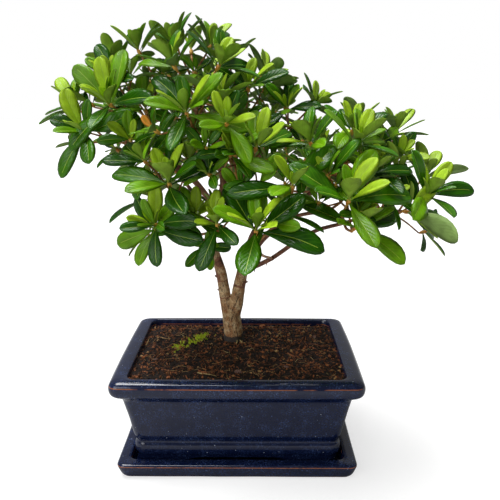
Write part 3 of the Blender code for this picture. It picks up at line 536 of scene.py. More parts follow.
def make_pot(glaze):
    """The pot, thrown from its underside out, up and over the rim, with arches between its four feet."""
    inner, outer = POT_OUTSIDE[0].inset + FOOT_WIDTH, POT_OUTSIDE[0].inset + FOOT_ROUNDING
    profile = [
        (inner, inner, POT_UNDERSIDE, FOOT_CORNERS[0], 0),
        (inner, inner, FOOT_BOTTOM, FOOT_CORNERS[0], 0),
        (outer, outer, FOOT_BOTTOM, FOOT_CORNERS[1], 0),
    ]
    for inset, height, corner in POT_OUTSIDE:
        profile.append((inset, inset, height, corner, SIDE_BOW * height / RIM_TOP))
    for lean, height in INSIDE_WALL:
        profile.append((RIM_FLAT.x + lean, RIM_FLAT.y + lean, height, OPENING_CORNER, 0))
    pot = thrown("glazed_pot", profile, RIM_LENGTH, RIM_WIDTH, glaze)
    for side, turn, length in (("long", 0, RIM_WIDTH), ("short", 90, RIM_LENGTH)):
        cutter = arch_cutter(ARCH_SPANS[side], length)
        cutter.rotation_euler.z = math.radians(turn)
        cut = pot.modifiers.new("arch", "BOOLEAN")
        cut.operation = "DIFFERENCE"
        cut.object = cutter
        pot.data = evaluated_mesh(pot)
        pot.modifiers.clear()
        bpy.data.objects.remove(cutter, do_unlink=True)
    crease(pot.data, SHARP_EDGE)
    return pot


def make_saucer(glaze):
    """The saucer: a shallow tray with a rolled lip."""
    profile = [(inset, inset, height, corner, 0) for inset, height, corner in SAUCER_RINGS]
    return thrown("glazed_saucer", profile, SAUCER_LENGTH, SAUCER_WIDTH, glaze)


# ------------------------------------------------------------------ soil
SOIL_STEP = 0.9
SOIL_DEPTH = 6  # the skirt of the soil's skin goes this far down, out of sight
SOIL_LIP = 0.5  # the skin's edge is sunk this far into the wall
SOIL_BANK = (-1, 12)  # the soil rises from the walls over this distance,
SOIL_BACK = (30, 49)  # and sinks again at the back, between these places,
SOIL_BACK_DROP = 1.1  # by this much
SOIL_LUMPS = ((9, 0.75), (3.1, 0.5), (1.3, 0.35))  # how wide its lumps are, and how high
TRUNK_CLEAR = 0.5
CRUMBS = 5200
CRUMB_SIZES = (0.35, 1.5)
CRUMB_MARGIN = 0.9  # from the walls
CRUMB_SHRINK = (0.6, 1.0)
CRUMB_WIDTH = (0.4, 1.0)  # of its length
CRUMB_HEIGHT = (0.35, 0.8)
CRUMB_CORNERS = (0.65, 1.3)  # how far out a corner lies, where an even crumb's would be at 1
CRUMB_RISE = 0.18  # a crumb's middle stands this high above the soil, of its size
SPLINTER_SHARE = 0.3  # of the crumbs, which are slivers of this shape
SPLINTER_SHAPE = (1.5, 0.32, 0.3)
CRUMB_WEIGHTS = (46, 30, 18, 4)  # black, brown, rust and tan
FIBRES = 420
FIBRE_MARGIN = 5
FIBRE_LENGTHS = (2.5, 9)
FIBRE_THICKNESSES = (0.10, 0.2)
FIBRE_WEIGHTS = (62, 30, 8)  # rust, tan and pale
FIBRE_STEPS = 6
FIBRE_ARCH = (0.1, 0.9)  # how high a fibre rises in its middle
FIBRE_BEND = 0.35  # how much it may turn at each step, in radians
FIBRE_TAPER = 0.6
FIBRE_LIFT = 0.6  # of its thickness
FIBRE_LIMITS = (64, 48)  # no fibre goes further out than this
CHIP_CORNERS = 9
CHIP_TILT = 0.4
CHIP_RISE = 0.7
CHIP_EDGE = (0.8, 1.1)
CHIP_BEVEL = 0.9
CHIP_TOP = (0.25, 0.5)
CHIP_BOTTOM = -0.3
CHIP_CROWN = 0.75
CHIP_KEEL = -0.5
Chip = namedtuple("Chip", "x y length width turn slot")
CHIPS = (
    Chip(0.5, -37, 5.2, 3.6, -25, 2),
    Chip(15.9, 44, 5.5, 3.0, 30, 3),
    Chip(40, -10, 4.2, 1.7, 60, 3),
    Chip(-20, -38.5, 4.5, 1.6, -15, 3),
    Chip(52, 20, 4.0, 2.0, 100, 2),
    Chip(-52, -20, 3.8, 2.2, 20, 2),
    Chip(30, -30, 3.6, 2.1, 145, 2),
    Chip(-8, 38, 4.4, 2.0, 10, 2),
    Chip(-40, 34, 3.4, 1.8, 75, 3),
    Chip(24, 12, 3.6, 1.4, -50, 3),
)
Strand = namedtuple("Strand", "x y turn length thickness slot")
STRANDS = (  # the roots and sprigs that stand out among the rest
    Strand(-63, 8, 60, 12, 0.42, 1),
    Strand(-57, 18, 8, 11, 0.42, 1),
    Strand(-24, -37, -20, 13, 0.40, 2),
    Strand(38, 43, -62, 18, 0.30, 0),
    Strand(44, 6, -38, 16, 0.34, 0),
    Strand(10, 4, -12, 14, 0.30, 0),
    Strand(2, 8, 120, 6, 0.45, 2),
    Strand(-2, 8, 75, 5, 0.40, 2),
    Strand(-12, 40, -30, 11, 0.34, 1),
    Strand(28, -4, 35, 12, 0.26, 0),
)
# Where each cushion of moss starts and ends, and how many tufts it has.
MOSS_PATCHES = (((-40, 2), (-25, 22), 130), ((-44, -4), (-38, 4), 14), ((-27, 18), (-22, 24), 34))
MOSS_SPREAD = (2.0, 2.6)
MOSS_GAP_SIZE = 3.2  # the cushions have bare gaps about this wide,
MOSS_GAP_LEVEL = -0.12  # where an even noise is under this
MOSS_SLICE = 5  # the slice of that noise that is used
MOSS_TUFT = 5  # points in a tuft
MOSS_LEAN = 0.5
MOSS_FOOT = 0.5
MOSS_REACH = (0.7, 1.6)
MOSS_GIRTH = 0.32
MOSS_FLANK = (0.5, 0.9)  # where two of a point's three foot corners lie, of its girth


def soil_height(x, y):
    """The top of the peat: lowest along the walls and at the back, with soft lumps."""
    inside_x, inside_y = RIM_LENGTH / 2 - RIM_FLAT.x, RIM_WIDTH / 2 - RIM_FLAT.y
    from_wall = min(inside_x - abs(x), inside_y - abs(y))
    bank = SOIL_EDGE + (SOIL_TOP - SOIL_EDGE) * smooth_step(*SOIL_BANK, from_wall)
    back = SOIL_BACK_DROP * smooth_step(*SOIL_BACK, y)
    place = Vector((x, y, 0))
    return bank - back + sum(height * noise.noise(place / width) for width, height in SOIL_LUMPS)


def make_soil_skin(peat):
    """The top of the peat from wall to wall, with a skirt that goes down out of sight."""
    half_x = RIM_LENGTH / 2 - RIM_FLAT.x - INSIDE_WALL[1][0] + SOIL_LIP
    half_y = RIM_WIDTH / 2 - RIM_FLAT.y - INSIDE_WALL[1][0] + SOIL_LIP
    columns = round(2 * half_x / SOIL_STEP)
    rows = round(2 * half_y / SOIL_STEP)
    bm = bmesh.new()
    grid = []
    for j in range(rows + 1):
        y = -half_y + 2 * half_y * j / rows
        row = []
        for i in range(columns + 1):
            x = -half_x + 2 * half_x * i / columns
            row.append(bm.verts.new((x, y, soil_height(x, y))))
        grid.append(row)
    for lower, upper in zip(grid, grid[1:]):
        for i in range(columns):
            bm.faces.new((lower[i], lower[i + 1], upper[i + 1], upper[i]))
    rim = grid[0] + [row[-1] for row in grid[1:]] + grid[-1][-2::-1] + [row[0] for row in grid[-2:0:-1]]
    below = [bm.verts.new((vert.co.x, vert.co.y, SOIL_EDGE - SOIL_DEPTH)) for vert in rim]
    for i, j in zip(range(len(rim)), [*range(1, len(rim)), 0]):
        bm.faces.new((rim[j], rim[i], below[i], below[j]))
    bm.faces.new(list(reversed(below)))
    return piece_from_bmesh("peat_surface", bm, [peat])


def lump_shape(rng, sizes):
    """An uneven pebble with twenty sides, sized along its own three axes."""
    bm = bmesh.new()
    bmesh.ops.create_icosphere(bm, subdivisions=1, radius=1)
    angle = rng.uniform(0, math.tau)
    turn = Matrix.Rotation(angle, 3, Vector((rng.gauss(0, 1), rng.gauss(0, 1), rng.gauss(0, 1))))
    points = []
    for vert in bm.verts:
        point = Vector(c * size * rng.uniform(*CRUMB_CORNERS) for c, size in zip(vert.co, sizes))
        points.append(turn @ point)
    faces = [tuple(vert.index for vert in face.verts) for face in bm.faces]
    bm.free()
    return points, faces


def somewhere(rng, margin):
    """A place on the soil, clear of the walls and of the trunk."""
    while True:
        x = rng.uniform(-1, 1) * (RIM_LENGTH / 2 - RIM_FLAT.x - margin)
        y = rng.uniform(-1, 1) * (RIM_WIDTH / 2 - RIM_FLAT.y - margin)
        if math.hypot(x - TRUNK_FOOT.x, y - TRUNK_FOOT.y) > TRUNK_RADII["soil"] + TRUNK_CLEAR:
            return x, y


def make_crumbs(materials):
    """The loose crumbs and splinters of the peat, in four colours."""
    rng = random.Random("crumbs")
    batch = Batch()
    for _ in range(CRUMBS):
        x, y = somewhere(rng, CRUMB_MARGIN)
        size = rng.uniform(*CRUMB_SIZES) * rng.uniform(*CRUMB_SHRINK)
        shape = (size, size * rng.uniform(*CRUMB_WIDTH), size * rng.uniform(*CRUMB_HEIGHT))
        if rng.random() < SPLINTER_SHARE:
            shape = [size * share for share in SPLINTER_SHAPE]
        points, faces = lump_shape(rng, shape)
        middle = Vector((x, y, soil_height(x, y) + size * CRUMB_RISE))
        slot = rng.choices(range(len(materials)), weights=CRUMB_WEIGHTS)[0]
        batch.add([point + middle for point in points], faces, slot)
    return batch.piece("peat_crumbs", materials, smooth=False)


def strand_shape(points, radii, sides=4):
    """Corners and faces of a thin closed tube along a few points."""
    corners, faces = [], []
    for k, (point, radius) in enumerate(zip(points, radii)):
        ahead = points[min(k + 1, len(points) - 1)] - points[max(k - 1, 0)]
        if k == 0:
            across = ahead.orthogonal().normalized()
        else:
            across = across - ahead * across.dot(ahead) / ahead.dot(ahead)
        across = across.normalized()
        other = ahead.normalized().cross(across)
        for side in range(sides):
            turn = math.tau * side / sides
            corners.append(point + (across * math.cos(turn) + other * math.sin(turn)) * radius)
    for k in range(len(points) - 1):
        for side in range(sides):
            following = (side + 1) % sides
            low, high = k * sides, (k + 1) * sides
            faces.append((low + side, low + following, high + following, high + side))
    faces.append(tuple(reversed(range(sides))))
    faces.append(tuple((len(points) - 1) * sides + side for side in range(sides)))
    return corners, faces


def wandering_strand(rng, x, y, turn, length, thickness):
    """A root fibre that lies on the peat and bends as it goes."""
    points, radii = [], []
    heading = turn
    arch = rng.uniform(*FIBRE_ARCH)
    limit_x, limit_y = FIBRE_LIMITS
    for step in range(FIBRE_STEPS + 1):
        share = step / FIBRE_STEPS
        lift = thickness * FIBRE_LIFT + arch * math.sin(math.pi * share)
        inside_x = min(max(x, -limit_x), limit_x)
        inside_y = min(max(y, -limit_y), limit_y)
        points.append(Vector((inside_x, inside_y, soil_height(inside_x, inside_y) + lift)))
        radii.append(thickness * (1 - FIBRE_TAPER * share))
        heading += rng.uniform(-FIBRE_BEND, FIBRE_BEND)
        x += math.cos(heading) * length / FIBRE_STEPS
        y += math.sin(heading) * length / FIBRE_STEPS
    return strand_shape(points, radii)


def make_fibres(materials):
    """The named strands, and many short ones strewn over the peat."""
    rng = random.Random("fibres")
    batch = Batch()
    strands = [one._replace(turn=math.radians(one.turn)) for one in STRANDS]
    for _ in range(FIBRES):
        x, y = somewhere(rng, FIBRE_MARGIN)
        slot = rng.choices(range(len(materials)), weights=FIBRE_WEIGHTS)[0]
        strands.append(Strand(x, y, rng.uniform(0, math.tau), rng.uniform(*FIBRE_LENGTHS),
                              rng.uniform(*FIBRE_THICKNESSES), slot))
    for *course, slot in strands:
        points, faces = wandering_strand(rng, *course)
        batch.add(points, faces, slot)
    return batch.piece("root_fibres", materials)


def make_chips(materials):
    """Flat flakes of bark with broken edges, half sunk in the peat."""
    rng = random.Random("chips")
    batch = Batch()
    count = CHIP_CORNERS
    for chip in CHIPS:
        lean = Matrix.Rotation(rng.uniform(-CHIP_TILT, CHIP_TILT), 3, "X")
        tilt = Matrix.Rotation(math.radians(chip.turn), 3, "Z") @ lean
        middle = Vector((chip.x, chip.y, soil_height(chip.x, chip.y) + CHIP_RISE))
        rim = []
        for k in range(count):
            turn = math.tau * k / count
            reach = rng.uniform(*CHIP_EDGE)
            x, y = math.cos(turn) * chip.length / 2, math.sin(turn) * chip.width / 2
            rim.append(Vector((x, y, 0)) * reach)
        top = [middle + tilt @ (point * CHIP_BEVEL + UP * rng.uniform(*CHIP_TOP)) for point in rim]
        bottom = [middle + tilt @ (point + UP * CHIP_BOTTOM) for point in rim]
        points = top + bottom + [middle + tilt @ (UP * CHIP_CROWN), middle + tilt @ (UP * CHIP_KEEL)]
        faces = []
        for k in range(count):
            following = (k + 1) % count
            faces.append((k, following, 2 * count))
            faces.append((following, k, count + k, count + following))
            faces.append((count + following, count + k, 2 * count + 1))
        batch.add(points, faces, chip.slot)
    return batch.piece("bark_chips", materials, smooth=False)


def make_moss(material):
    """Cushions of moss shoots, each a small rosette of points."""
    rng = random.Random("moss")
    batch = Batch()
    for (x0, y0), (x1, y1), count in MOSS_PATCHES:
        for _ in range(count):
            along = rng.random()
            x = x0 + (x1 - x0) * along + rng.gauss(0, MOSS_SPREAD[0])
            y = y0 + (y1 - y0) * along + rng.gauss(0, MOSS_SPREAD[1])
            if noise.noise(Vector((x, y, MOSS_SLICE)) / MOSS_GAP_SIZE) < MOSS_GAP_LEVEL:
                continue
            ground = Vector((x, y, soil_height(x, y)))
            for _ in range(MOSS_TUFT):
                lean = Vector((rng.gauss(0, MOSS_LEAN), rng.gauss(0, MOSS_LEAN), 1)).normalized()
                reach = rng.uniform(*MOSS_REACH)
                side = lean.orthogonal().normalized() * MOSS_GIRTH
                other = lean.cross(side)
                foot = ground + Vector((rng.gauss(0, MOSS_FOOT), rng.gauss(0, MOSS_FOOT), 0))
                behind, beside = side * MOSS_FLANK[0], other * MOSS_FLANK[1]
                points = [foot + side, foot - behind + beside, foot - behind - beside, foot + lean * reach]
                batch.add(points, [(0, 1, 3), (1, 2, 3), (2, 0, 3), (2, 1, 0)], 0)
    return batch.piece("moss", [material], smooth=False)


# ------------------------------------------------------------------ sizes of the limbs
TRUNK_FOOT = Vector((-4.0, 17, SOIL_TOP - 1.5))
TRUNK_FORK = Vector((-5.5, 16.4, 83))
TRUNK_RADII = {"soil": 7.2, "waist": 6.2, "fork": 6.5}
WAIST_SHARE = 0.55  # of the way up to the fork
FLARE = 0.35  # how much thicker than the waist the trunk is above its foot,
FLARE_HEIGHT = 5  # to about this height
ARM_ROOT = (1.2, 6)  # an arm starts this far to its side of the fork, and this far below it
ARM_BOW = 0.4
ARM_BOW_SHARE = 0.55  # of its length, where it bows out
ARM_FLARE = 1.12
ARMS = {  # where each arm of the trunk ends, and its radius there
    "trunk_left": (Vector((-10.1, 16.6, 97.5)), 3.9),
    "trunk_right": (Vector((-0.3, 14.6, 98.0)), 4.3),
}
ROUTE_STEP = 4
FINE_STEP = 1.5  # between the places on a limb from which its bark is worked out
THICK_LIMB = 2
LIMB_SIDES = (16, 8)  # of a thick limb and of a thin one
BARK_CELL = 0.42  # the bark's skin is rebuilt in cells of this size
CRACK_LENGTH = 3.2  # cracks run along the limb, this many times as long as they are wide
CRACK_SHIFT = 7  # so that limbs of other girths crack elsewhere
CRACK_WIDTHS = ((1.15, 1.5), (0.55, 0.6))  # wide and narrow cracks, and how much each counts
CRACK_EDGE = (0.06, 0.34)
CRACK_DEPTH = 0.055  # of the limb's radius,
DEEPEST_CRACK = 0.34  # up to this
LUMP_WIDTH = 4
LUMP_STRETCH = 0.5
LUMP_SHARE = 0.9  # how high the bark's lumps are, of its cracks' depth
YOUNG_RADII = (1.6, 4.2)  # bark is young on limbs thinner than the first, and old from the second on
YOUNG_SMOOTHING = 0.55  # how much of a crack young bark fills
Limb = namedtuple("Limb", "name parent share radii through tip")
LIMBS = (
    Limb("left_stem", "trunk_left", 1, (3.8, 3.1), [(-12.5, 16.5, 111), (-18.3, 17, 131)], (-15, 18, 152)),
    Limb("right_stem", "trunk_right", 1, (4.2, 3.7), [], (2.4, 12.8, 112)),
    Limb("leader", "left_stem", 1, (2.6, 1.8), [(-10, 18, 168), (-13, 18, 184)], (-17, 15, 201)),
    Limb("left_bough", "left_stem", 1, (2.2, 1.7), [(-29, 8, 173)], (-45, 0, 186)),
    Limb("left_outer_bough", "left_bough", 1, (1.3, 1.0), [], (-67, -6, 196)),
    Limb("left_upper_bough", "left_bough", 1, (1.3, 1.0), [], (-54, 1, 204)),
    Limb("low_left_bough", "left_stem", 0.6, (1.4, 1.0), [], (-33, -13, 141)),
    Limb("middle_left_bough", "left_stem", 0.82, (1.6, 1.1), [(-26, -6, 153)], (-33, -28, 167)),
    Limb("centre_front_bough", "leader", 0.55, (1.5, 1.1), [], (-12, -22, 199)),
    Limb("upper_right_bough", "leader", 0.25, (1.8, 1.3), [(4.5, 9, 177)], (19, 0, 196)),
    Limb("back_top_bough", "leader", 0.75, (1.5, 1.1), [], (-14, 42, 205)),
    Limb("back_left_bough", "left_stem", 0.9, (1.6, 1.2), [(-28, 28, 158)], (-41, 36, 172)),
    Limb("right_bough", "right_stem", 1, (1.8, 1.5), [(10, 4, 116.5)], (21, -14, 127)),
    Limb("right_outer_bough", "right_bough", 1, (1.5, 1.2), [(43, -24, 145)], (62, -30, 152.5)),
    Limb("right_end_bough", "right_outer_bough", 1, (1.1, 0.9), [], (83, -30, 159)),
    Limb("shoulder_bough", "right_stem", 1, (2.4, 1.8), [(14, 1, 134)], (29, -12, 151)),
    Limb("front_shoulder_bough", "shoulder_bough", 1, (1.3, 1.1), [(39, -22, 156)], (49, -36, 160)),
    Limb("crest_bough", "shoulder_bough", 1, (1.5, 1.1), [(42, -9, 165)], (55, -6, 177)),
    Limb("back_right_bough", "right_stem", 1, (1.9, 1.2), [(10, 30, 135)], (33, 44, 160)),
)
Snag = namedtuple("Snag", "limb share heading length radius")  # stubs of twigs that broke off
SNAG_MIDDLE = 0.6
SNAG_TAPER = (1.5, 1.0, 0.7)
SNAGS = (
    Snag("trunk_left", 0.75, (150, 35), 3.4, 0.8),
    Snag("left_stem", 0.12, (195, 30), 3.0, 0.7),
    Snag("left_stem", 0.35, (-60, 10), 2.2, 0.6),
    Snag("right_stem", 0.25, (-5, 20), 2.4, 0.6),
    Snag("right_bough", 0.35, (-80, -55), 2.4, 0.45),
    Snag("right_bough", 0.8, (-90, -60), 2.6, 0.4),
    Snag("shoulder_bough", 0.45, (80, 40), 3.0, 0.5),
    Snag("leader", 0.3, (200, 25), 3.2, 0.5),
)


# ------------------------------------------------------------------ limbs
def smooth_route(points, step=ROUTE_STEP):
    """Points at even steps along a smooth curve through the given ones."""
    ends = [points[0] * 2 - points[1], *points, points[-1] * 2 - points[-2]]
    route = []
    for before, a, b, after in zip(ends, ends[1:], ends[2:], ends[3:]):
        steps = max(1, round((b - a).length / step))
        for i in range(steps):
            t = i / steps
            bend = (2 * before - 5 * a + 4 * b - after) * t * t + (3 * a - before - 3 * b + after) * t**3
            route.append(0.5 * (2 * a + (b - before) * t + bend))
    route.append(points[-1].copy())
    return route


def even_radii(route, first, last):
    """A radius for each point of a route, in even steps from the first to the last."""
    return [first + (last - first) * k / (len(route) - 1) for k in range(len(route))]


def place_along(route, share):
    """The point at a share of a route's length."""
    lengths = [(b - a).length for a, b in zip(route, route[1:])]
    left = share * sum(lengths)
    for a, b, length in zip(route, route[1:], lengths):
        if left <= length:
            return a.lerp(b, left / length)
        left -= length
    return route[-1].copy()


def heading_vector(azimuth, elevation):
    """The direction at an azimuth and an elevation in degrees."""
    a, e = math.radians(azimuth), math.radians(elevation)
    return Vector((math.cos(e) * math.cos(a), math.cos(e) * math.sin(a), math.sin(e)))


def limb_routes():
    """The line and the radii of the trunk, its two arms and every limb, each from inside its parent."""
    waist = TRUNK_FOOT.lerp(TRUNK_FORK, WAIST_SHARE)
    lines = {"trunk": smooth_route([TRUNK_FOOT, TRUNK_FOOT + UP * FLARE_HEIGHT, waist, TRUNK_FORK])}
    flared = [TRUNK_RADII["waist"] + FLARE / k for k in range(1, len(lines["trunk"]) - 1)]
    girths = {"trunk": [TRUNK_RADII["soil"], *flared, TRUNK_RADII["fork"]]}
    for name, (end, radius) in ARMS.items():
        side = math.copysign(1, end.x - TRUNK_FORK.x)
        root = TRUNK_FORK + Vector((side * ARM_ROOT[0], 0, -ARM_ROOT[1]))
        bowed = root.lerp(end, ARM_BOW_SHARE) + Vector((side * ARM_BOW, 0, 0))
        lines[name] = smooth_route([root, bowed, end])
        girths[name] = even_radii(lines[name], radius * ARM_FLARE, radius)
    for limb in LIMBS:
        start = place_along(lines[limb.parent], limb.share)
        lines[limb.name] = smooth_route([start, *map(Vector, limb.through), Vector(limb.tip)])
        girths[limb.name] = even_radii(lines[limb.name], *limb.radii)
    for k, snag in enumerate(SNAGS):
        start = place_along(lines[snag.limb], snag.share)
        ahead = heading_vector(*snag.heading)
        girth = sum(girths[snag.limb]) / len(girths[snag.limb])
        end = start + ahead * (girth + snag.length)
        lines[f"snag_{k}"] = [start, start.lerp(end, SNAG_MIDDLE), end]
        girths[f"snag_{k}"] = [snag.radius * share for share in SNAG_TAPER]
    return lines, girths


def bark_relief(samples, tree, point):
    """How much the bark is cracked and lumpy at a point, and the limb's radius there."""
    _, index, _ = tree.find(point)
    middle, ahead, across, radius, distance = samples[index]
    out = point - middle
    out -= ahead * out.dot(ahead)
    angle = math.atan2(out.dot(ahead.cross(across)), out.dot(across))
    along = distance + (point - middle).dot(ahead)
    wrapped = Vector((math.cos(angle) * radius, math.sin(angle) * radius,
                      along / CRACK_LENGTH + radius * CRACK_SHIFT))
    ridges = sum(abs(noise.noise(wrapped / width)) * share for width, share in CRACK_WIDTHS)
    crack = 1 - smooth_step(*CRACK_EDGE, ridges)
    lumps = noise.noise(Vector((wrapped.x, wrapped.y, along * LUMP_STRETCH)) / LUMP_WIDTH)
    return crack, lumps, radius


def make_bark(lines, girths, material):
    """One skin over the trunk and all its limbs, with fissures that run along each of them."""
    batch = Batch()
    samples = []
    for name, route in lines.items():
        sides = LIMB_SIDES[0] if girths[name][0] > THICK_LIMB else LIMB_SIDES[1]
        points, faces = strand_shape(route, girths[name], sides)
        batch.add(points, faces, 0)
        fine = smooth_route(route, FINE_STEP) if len(route) > 3 else route
        across = (fine[1] - fine[0]).orthogonal().normalized()
        distance = 0.0
        for k, middle in enumerate(fine):
            ahead = (fine[min(k + 1, len(fine) - 1)] - fine[max(k - 1, 0)]).normalized()
            across = (across - ahead * across.dot(ahead)).normalized()
            share = k / (len(fine) - 1) * (len(route) - 1)
            low = min(int(share), len(route) - 2)
            radius = girths[name][low] + (girths[name][low + 1] - girths[name][low]) * (share - low)
            samples.append((middle, ahead, across, radius, distance))
            distance += (fine[min(k + 1, len(fine) - 1)] - middle).length
    bark = batch.piece("bark", [material])
    rebuild = bark.modifiers.new("skin", "REMESH")
    rebuild.mode = "VOXEL"
    rebuild.voxel_size = BARK_CELL * MM
    rebuild.use_smooth_shade = True
    soften = bark.modifiers.new("soften", "SMOOTH")
    soften.factor = 0.5
    soften.iterations = 3
    skin = evaluated_mesh(bark)
    bark.modifiers.clear()
    bark.data = skin
    tree = KDTree(len(samples))
    for k, sample in enumerate(samples):
        tree.insert(sample[0], k)
    tree.balance()
    count = len(skin.vertices)
    places, normals = np.empty(3 * count), np.empty(3 * count)
    skin.vertices.foreach_get("co", places)
    skin.vertices.foreach_get("normal", normals)
    places, normals = places.reshape(-1, 3), normals.reshape(-1, 3)
    cracks, youths = np.empty(count), np.empty(count)
    for k, place in enumerate(places / MM):
        crack, lumps, radius = bark_relief(samples, tree, Vector(place))
        depth = min(CRACK_DEPTH * radius, DEEPEST_CRACK)
        places[k] += normals[k] * (lumps * depth * LUMP_SHARE - crack * depth) * MM
        young = 1 - smooth_step(*YOUNG_RADII, radius)
        cracks[k] = crack * (1 - YOUNG_SMOOTHING * young)
        youths[k] = young
    skin.vertices.foreach_set("co", places.ravel())
    for name, values in (("crack", cracks), ("youth", youths)):
        skin.attributes.new(name, "FLOAT", "POINT").data.foreach_set("value", values)
    skin.update()
    return bark


# ------------------------------------------------------------------ sizes of the foliage
# The leaves of a shoot: angles from its heading in degrees, and what is left to chance in radians.
SHOOT_LEAVES = 7
GOLDEN_ANGLE = math.radians(137.5)
NEXT_SHOOT_TURN = math.radians(63)
STEEPEST_LEAF = 28
ANGLE_CURVE = 1.2
SHOOT_LIFT = 0.7  # a shoot bends up as it grows: how far its last leaf has turned to the sky
WHORL_LENGTH = (1.0, 0.55)
LENGTH_CURVE = 1.5
TURN_CHANCE = 0.12
ANGLE_CHANCE = 0.10
LENGTH_CHANCE = (0.92, 1.04)
ROOT_DEPTH = 0.5  # the lowest leaf is rooted this far down the shoot's swollen end
NEARLY_UPRIGHT = 0.05

# The small leaves that stand up inside them.
YOUNG_LEAVES = 5
YOUNG_AGE = -1  # a shoot's grown leaves go from age 1, the lowest, to 0
YOUNG_LENGTH = (0.74, 0.36)
YOUNG_LIFT = 1.1
YOUNG_ANGLE = (34, 8)
YOUNG_CHANCE = 0.08
YOUNG_SIZES = (0.9, 1.15)

# Where a mass has its shoots and its hub, from which they grow. Depths and reaches are in leaf lengths.
SHOOT_SPACING = 0.44
SHOOT_LEAN = 34
HUB_DEPTH = 0.75
LONE_HUB_DEPTH = 0.4
HUB_DEPTH_OF = {"right_droop": 0.13}  # this shoot bends up straight from its bough

# Side shoots, smaller ones round the hub.
SIDE_SHOOTS = 3  # of a mass, where nothing else is said
SIDE_SHOOT_LEAVES = 8
SIDE_SHOOT_REACH = 0.62
SIDE_SHOOT_LEAF = 0.68
SIDE_SIZES = (0.9, 1.1)
SIDE_SPREAD = 78
SIDE_FAN = 60  # they start this far round from the mass's own shoots
SIDE_CHANCE = 0.3
SIDE_PLACE = (0.95, 0.25)  # outward, and along the mass's heading
SIDE_HEADING = (0.75, 0.45, 0.45)  # outward, along the heading, and up
FEWEST_LEAVES = 3  # one with less room than this doesn't grow

# Twigs, and the swollen end of each that carries the leaves and a bud.
STEM_RADII = (0.92, 0.72)
STEM_SWAY = 0.08
TWIG_RADII = (0.72, 0.58)
SIDE_TWIG_RADII = (0.62, 0.5)
TWIG_SWAY = 0.06
TWIG_STEP = 3
TWIG_SIDES = 6
SHOOT_END_LENGTH = 4.2
SHOOT_END_PAST = 0.9  # it goes on this far past the leaves
SHOOT_END_STEPS = 4
SHOOT_END_RADII = (1.0, 1.35, 1.15, 0.55)
BUD_PLACES = (0.4, 1.6, 3.4)
BUD_RADII = (0.7, 0.6, 0.1)
BUD_SIDES = 5
TWIG_WOOD, SHOOT_END, BUD = range(3)

# A leaf's room. One that meets another is tried again at the next of these sizes, or left out.
LEAF_TRIES = (1.0, 0.78)
YOUNG_TRIES = (1.0, 0.8, 0.6)
LOWEST_LEAF = RIM_TOP + 6
BLADE_FROM = 0.3  # the part of a leaf beyond this is kept clear of every other leaf
COARSE_OUTLINE = ((BLADE_FROM, 0), (0.5, 0.19), (0.85, 0.16), (1, 0), (0.85, -0.16), (0.5, -0.19))
COARSE_FACES = [(0, 1, 5), (1, 2, 4, 5), (2, 3, 4)]
COARSE_KEEL = 0.14
COARSE_DROOP = 0.10
LEAF_BALL = (0.62, 0.45)  # the middle and the radius of the ball that holds a blade

# A leaf's blade, in shares of its length. Its stations give a place along it and its half width there as
# a share of the widest: a narrow stalk, a wedge-shaped foot and a round tip.
LEAF_HALF_WIDTH = 0.185
BLADE_WIDTHS = (0.86, 1.06)
BLADE_STATIONS = (
    (0.0, 0.08), (0.10, 0.09), (0.19, 0.27), (0.30, 0.52), (0.43, 0.79), (0.56, 0.96), (0.68, 1.0),
    (0.80, 0.93), (0.90, 0.74), (0.965, 0.45), (1.0, 0.08),
)
RIB_SHARE = 0.032
RIB_STATIONS = len(BLADE_STATIONS) - 3  # the midrib fades out before the tip
BLADE_COLUMNS = (-1, -0.55, -RIB_SHARE, RIB_SHARE, 0.55, 1)
UNDER_COLUMNS = (-0.5, 0, 0.5)
BLADE_DROOP = (0.05, 0.17)
AGE_DROOP = 0.05
DROOP_SHORTENS = 0.25
BLADE_KEEL = (0.05, 0.16)
BLADE_SWELL = (0.02, 0.05)
BLADE_TWIST = 0.22
BLADE_SWAY = 0.05
LEAF_THICKNESS = 0.012
THINNEST_LEAF = 0.12  # in millimetres
RIB_THICKER = 1.6
THIN_ENDS = 0.35  # of the thickness elsewhere

# Its colours.
OLD, GROWN, FRESH, NEW, RIB, UNDER_OLD, UNDER_NEW, STALK, TURNED = range(9)
FRESH_AGE = 0.35
FRESH_WEIGHTS = (5, 3, 2)  # fresh, new and grown
MOODS = ((5, 4, 1), (3, 5, 2), (2, 5, 4))  # old, grown and fresh: one of these for a whole mass
OLD_UNDERSIDES = 0.7

LEFT_OF, RIGHT_OF = -30, 40  # where the crown's left side ends, and where its right side starts

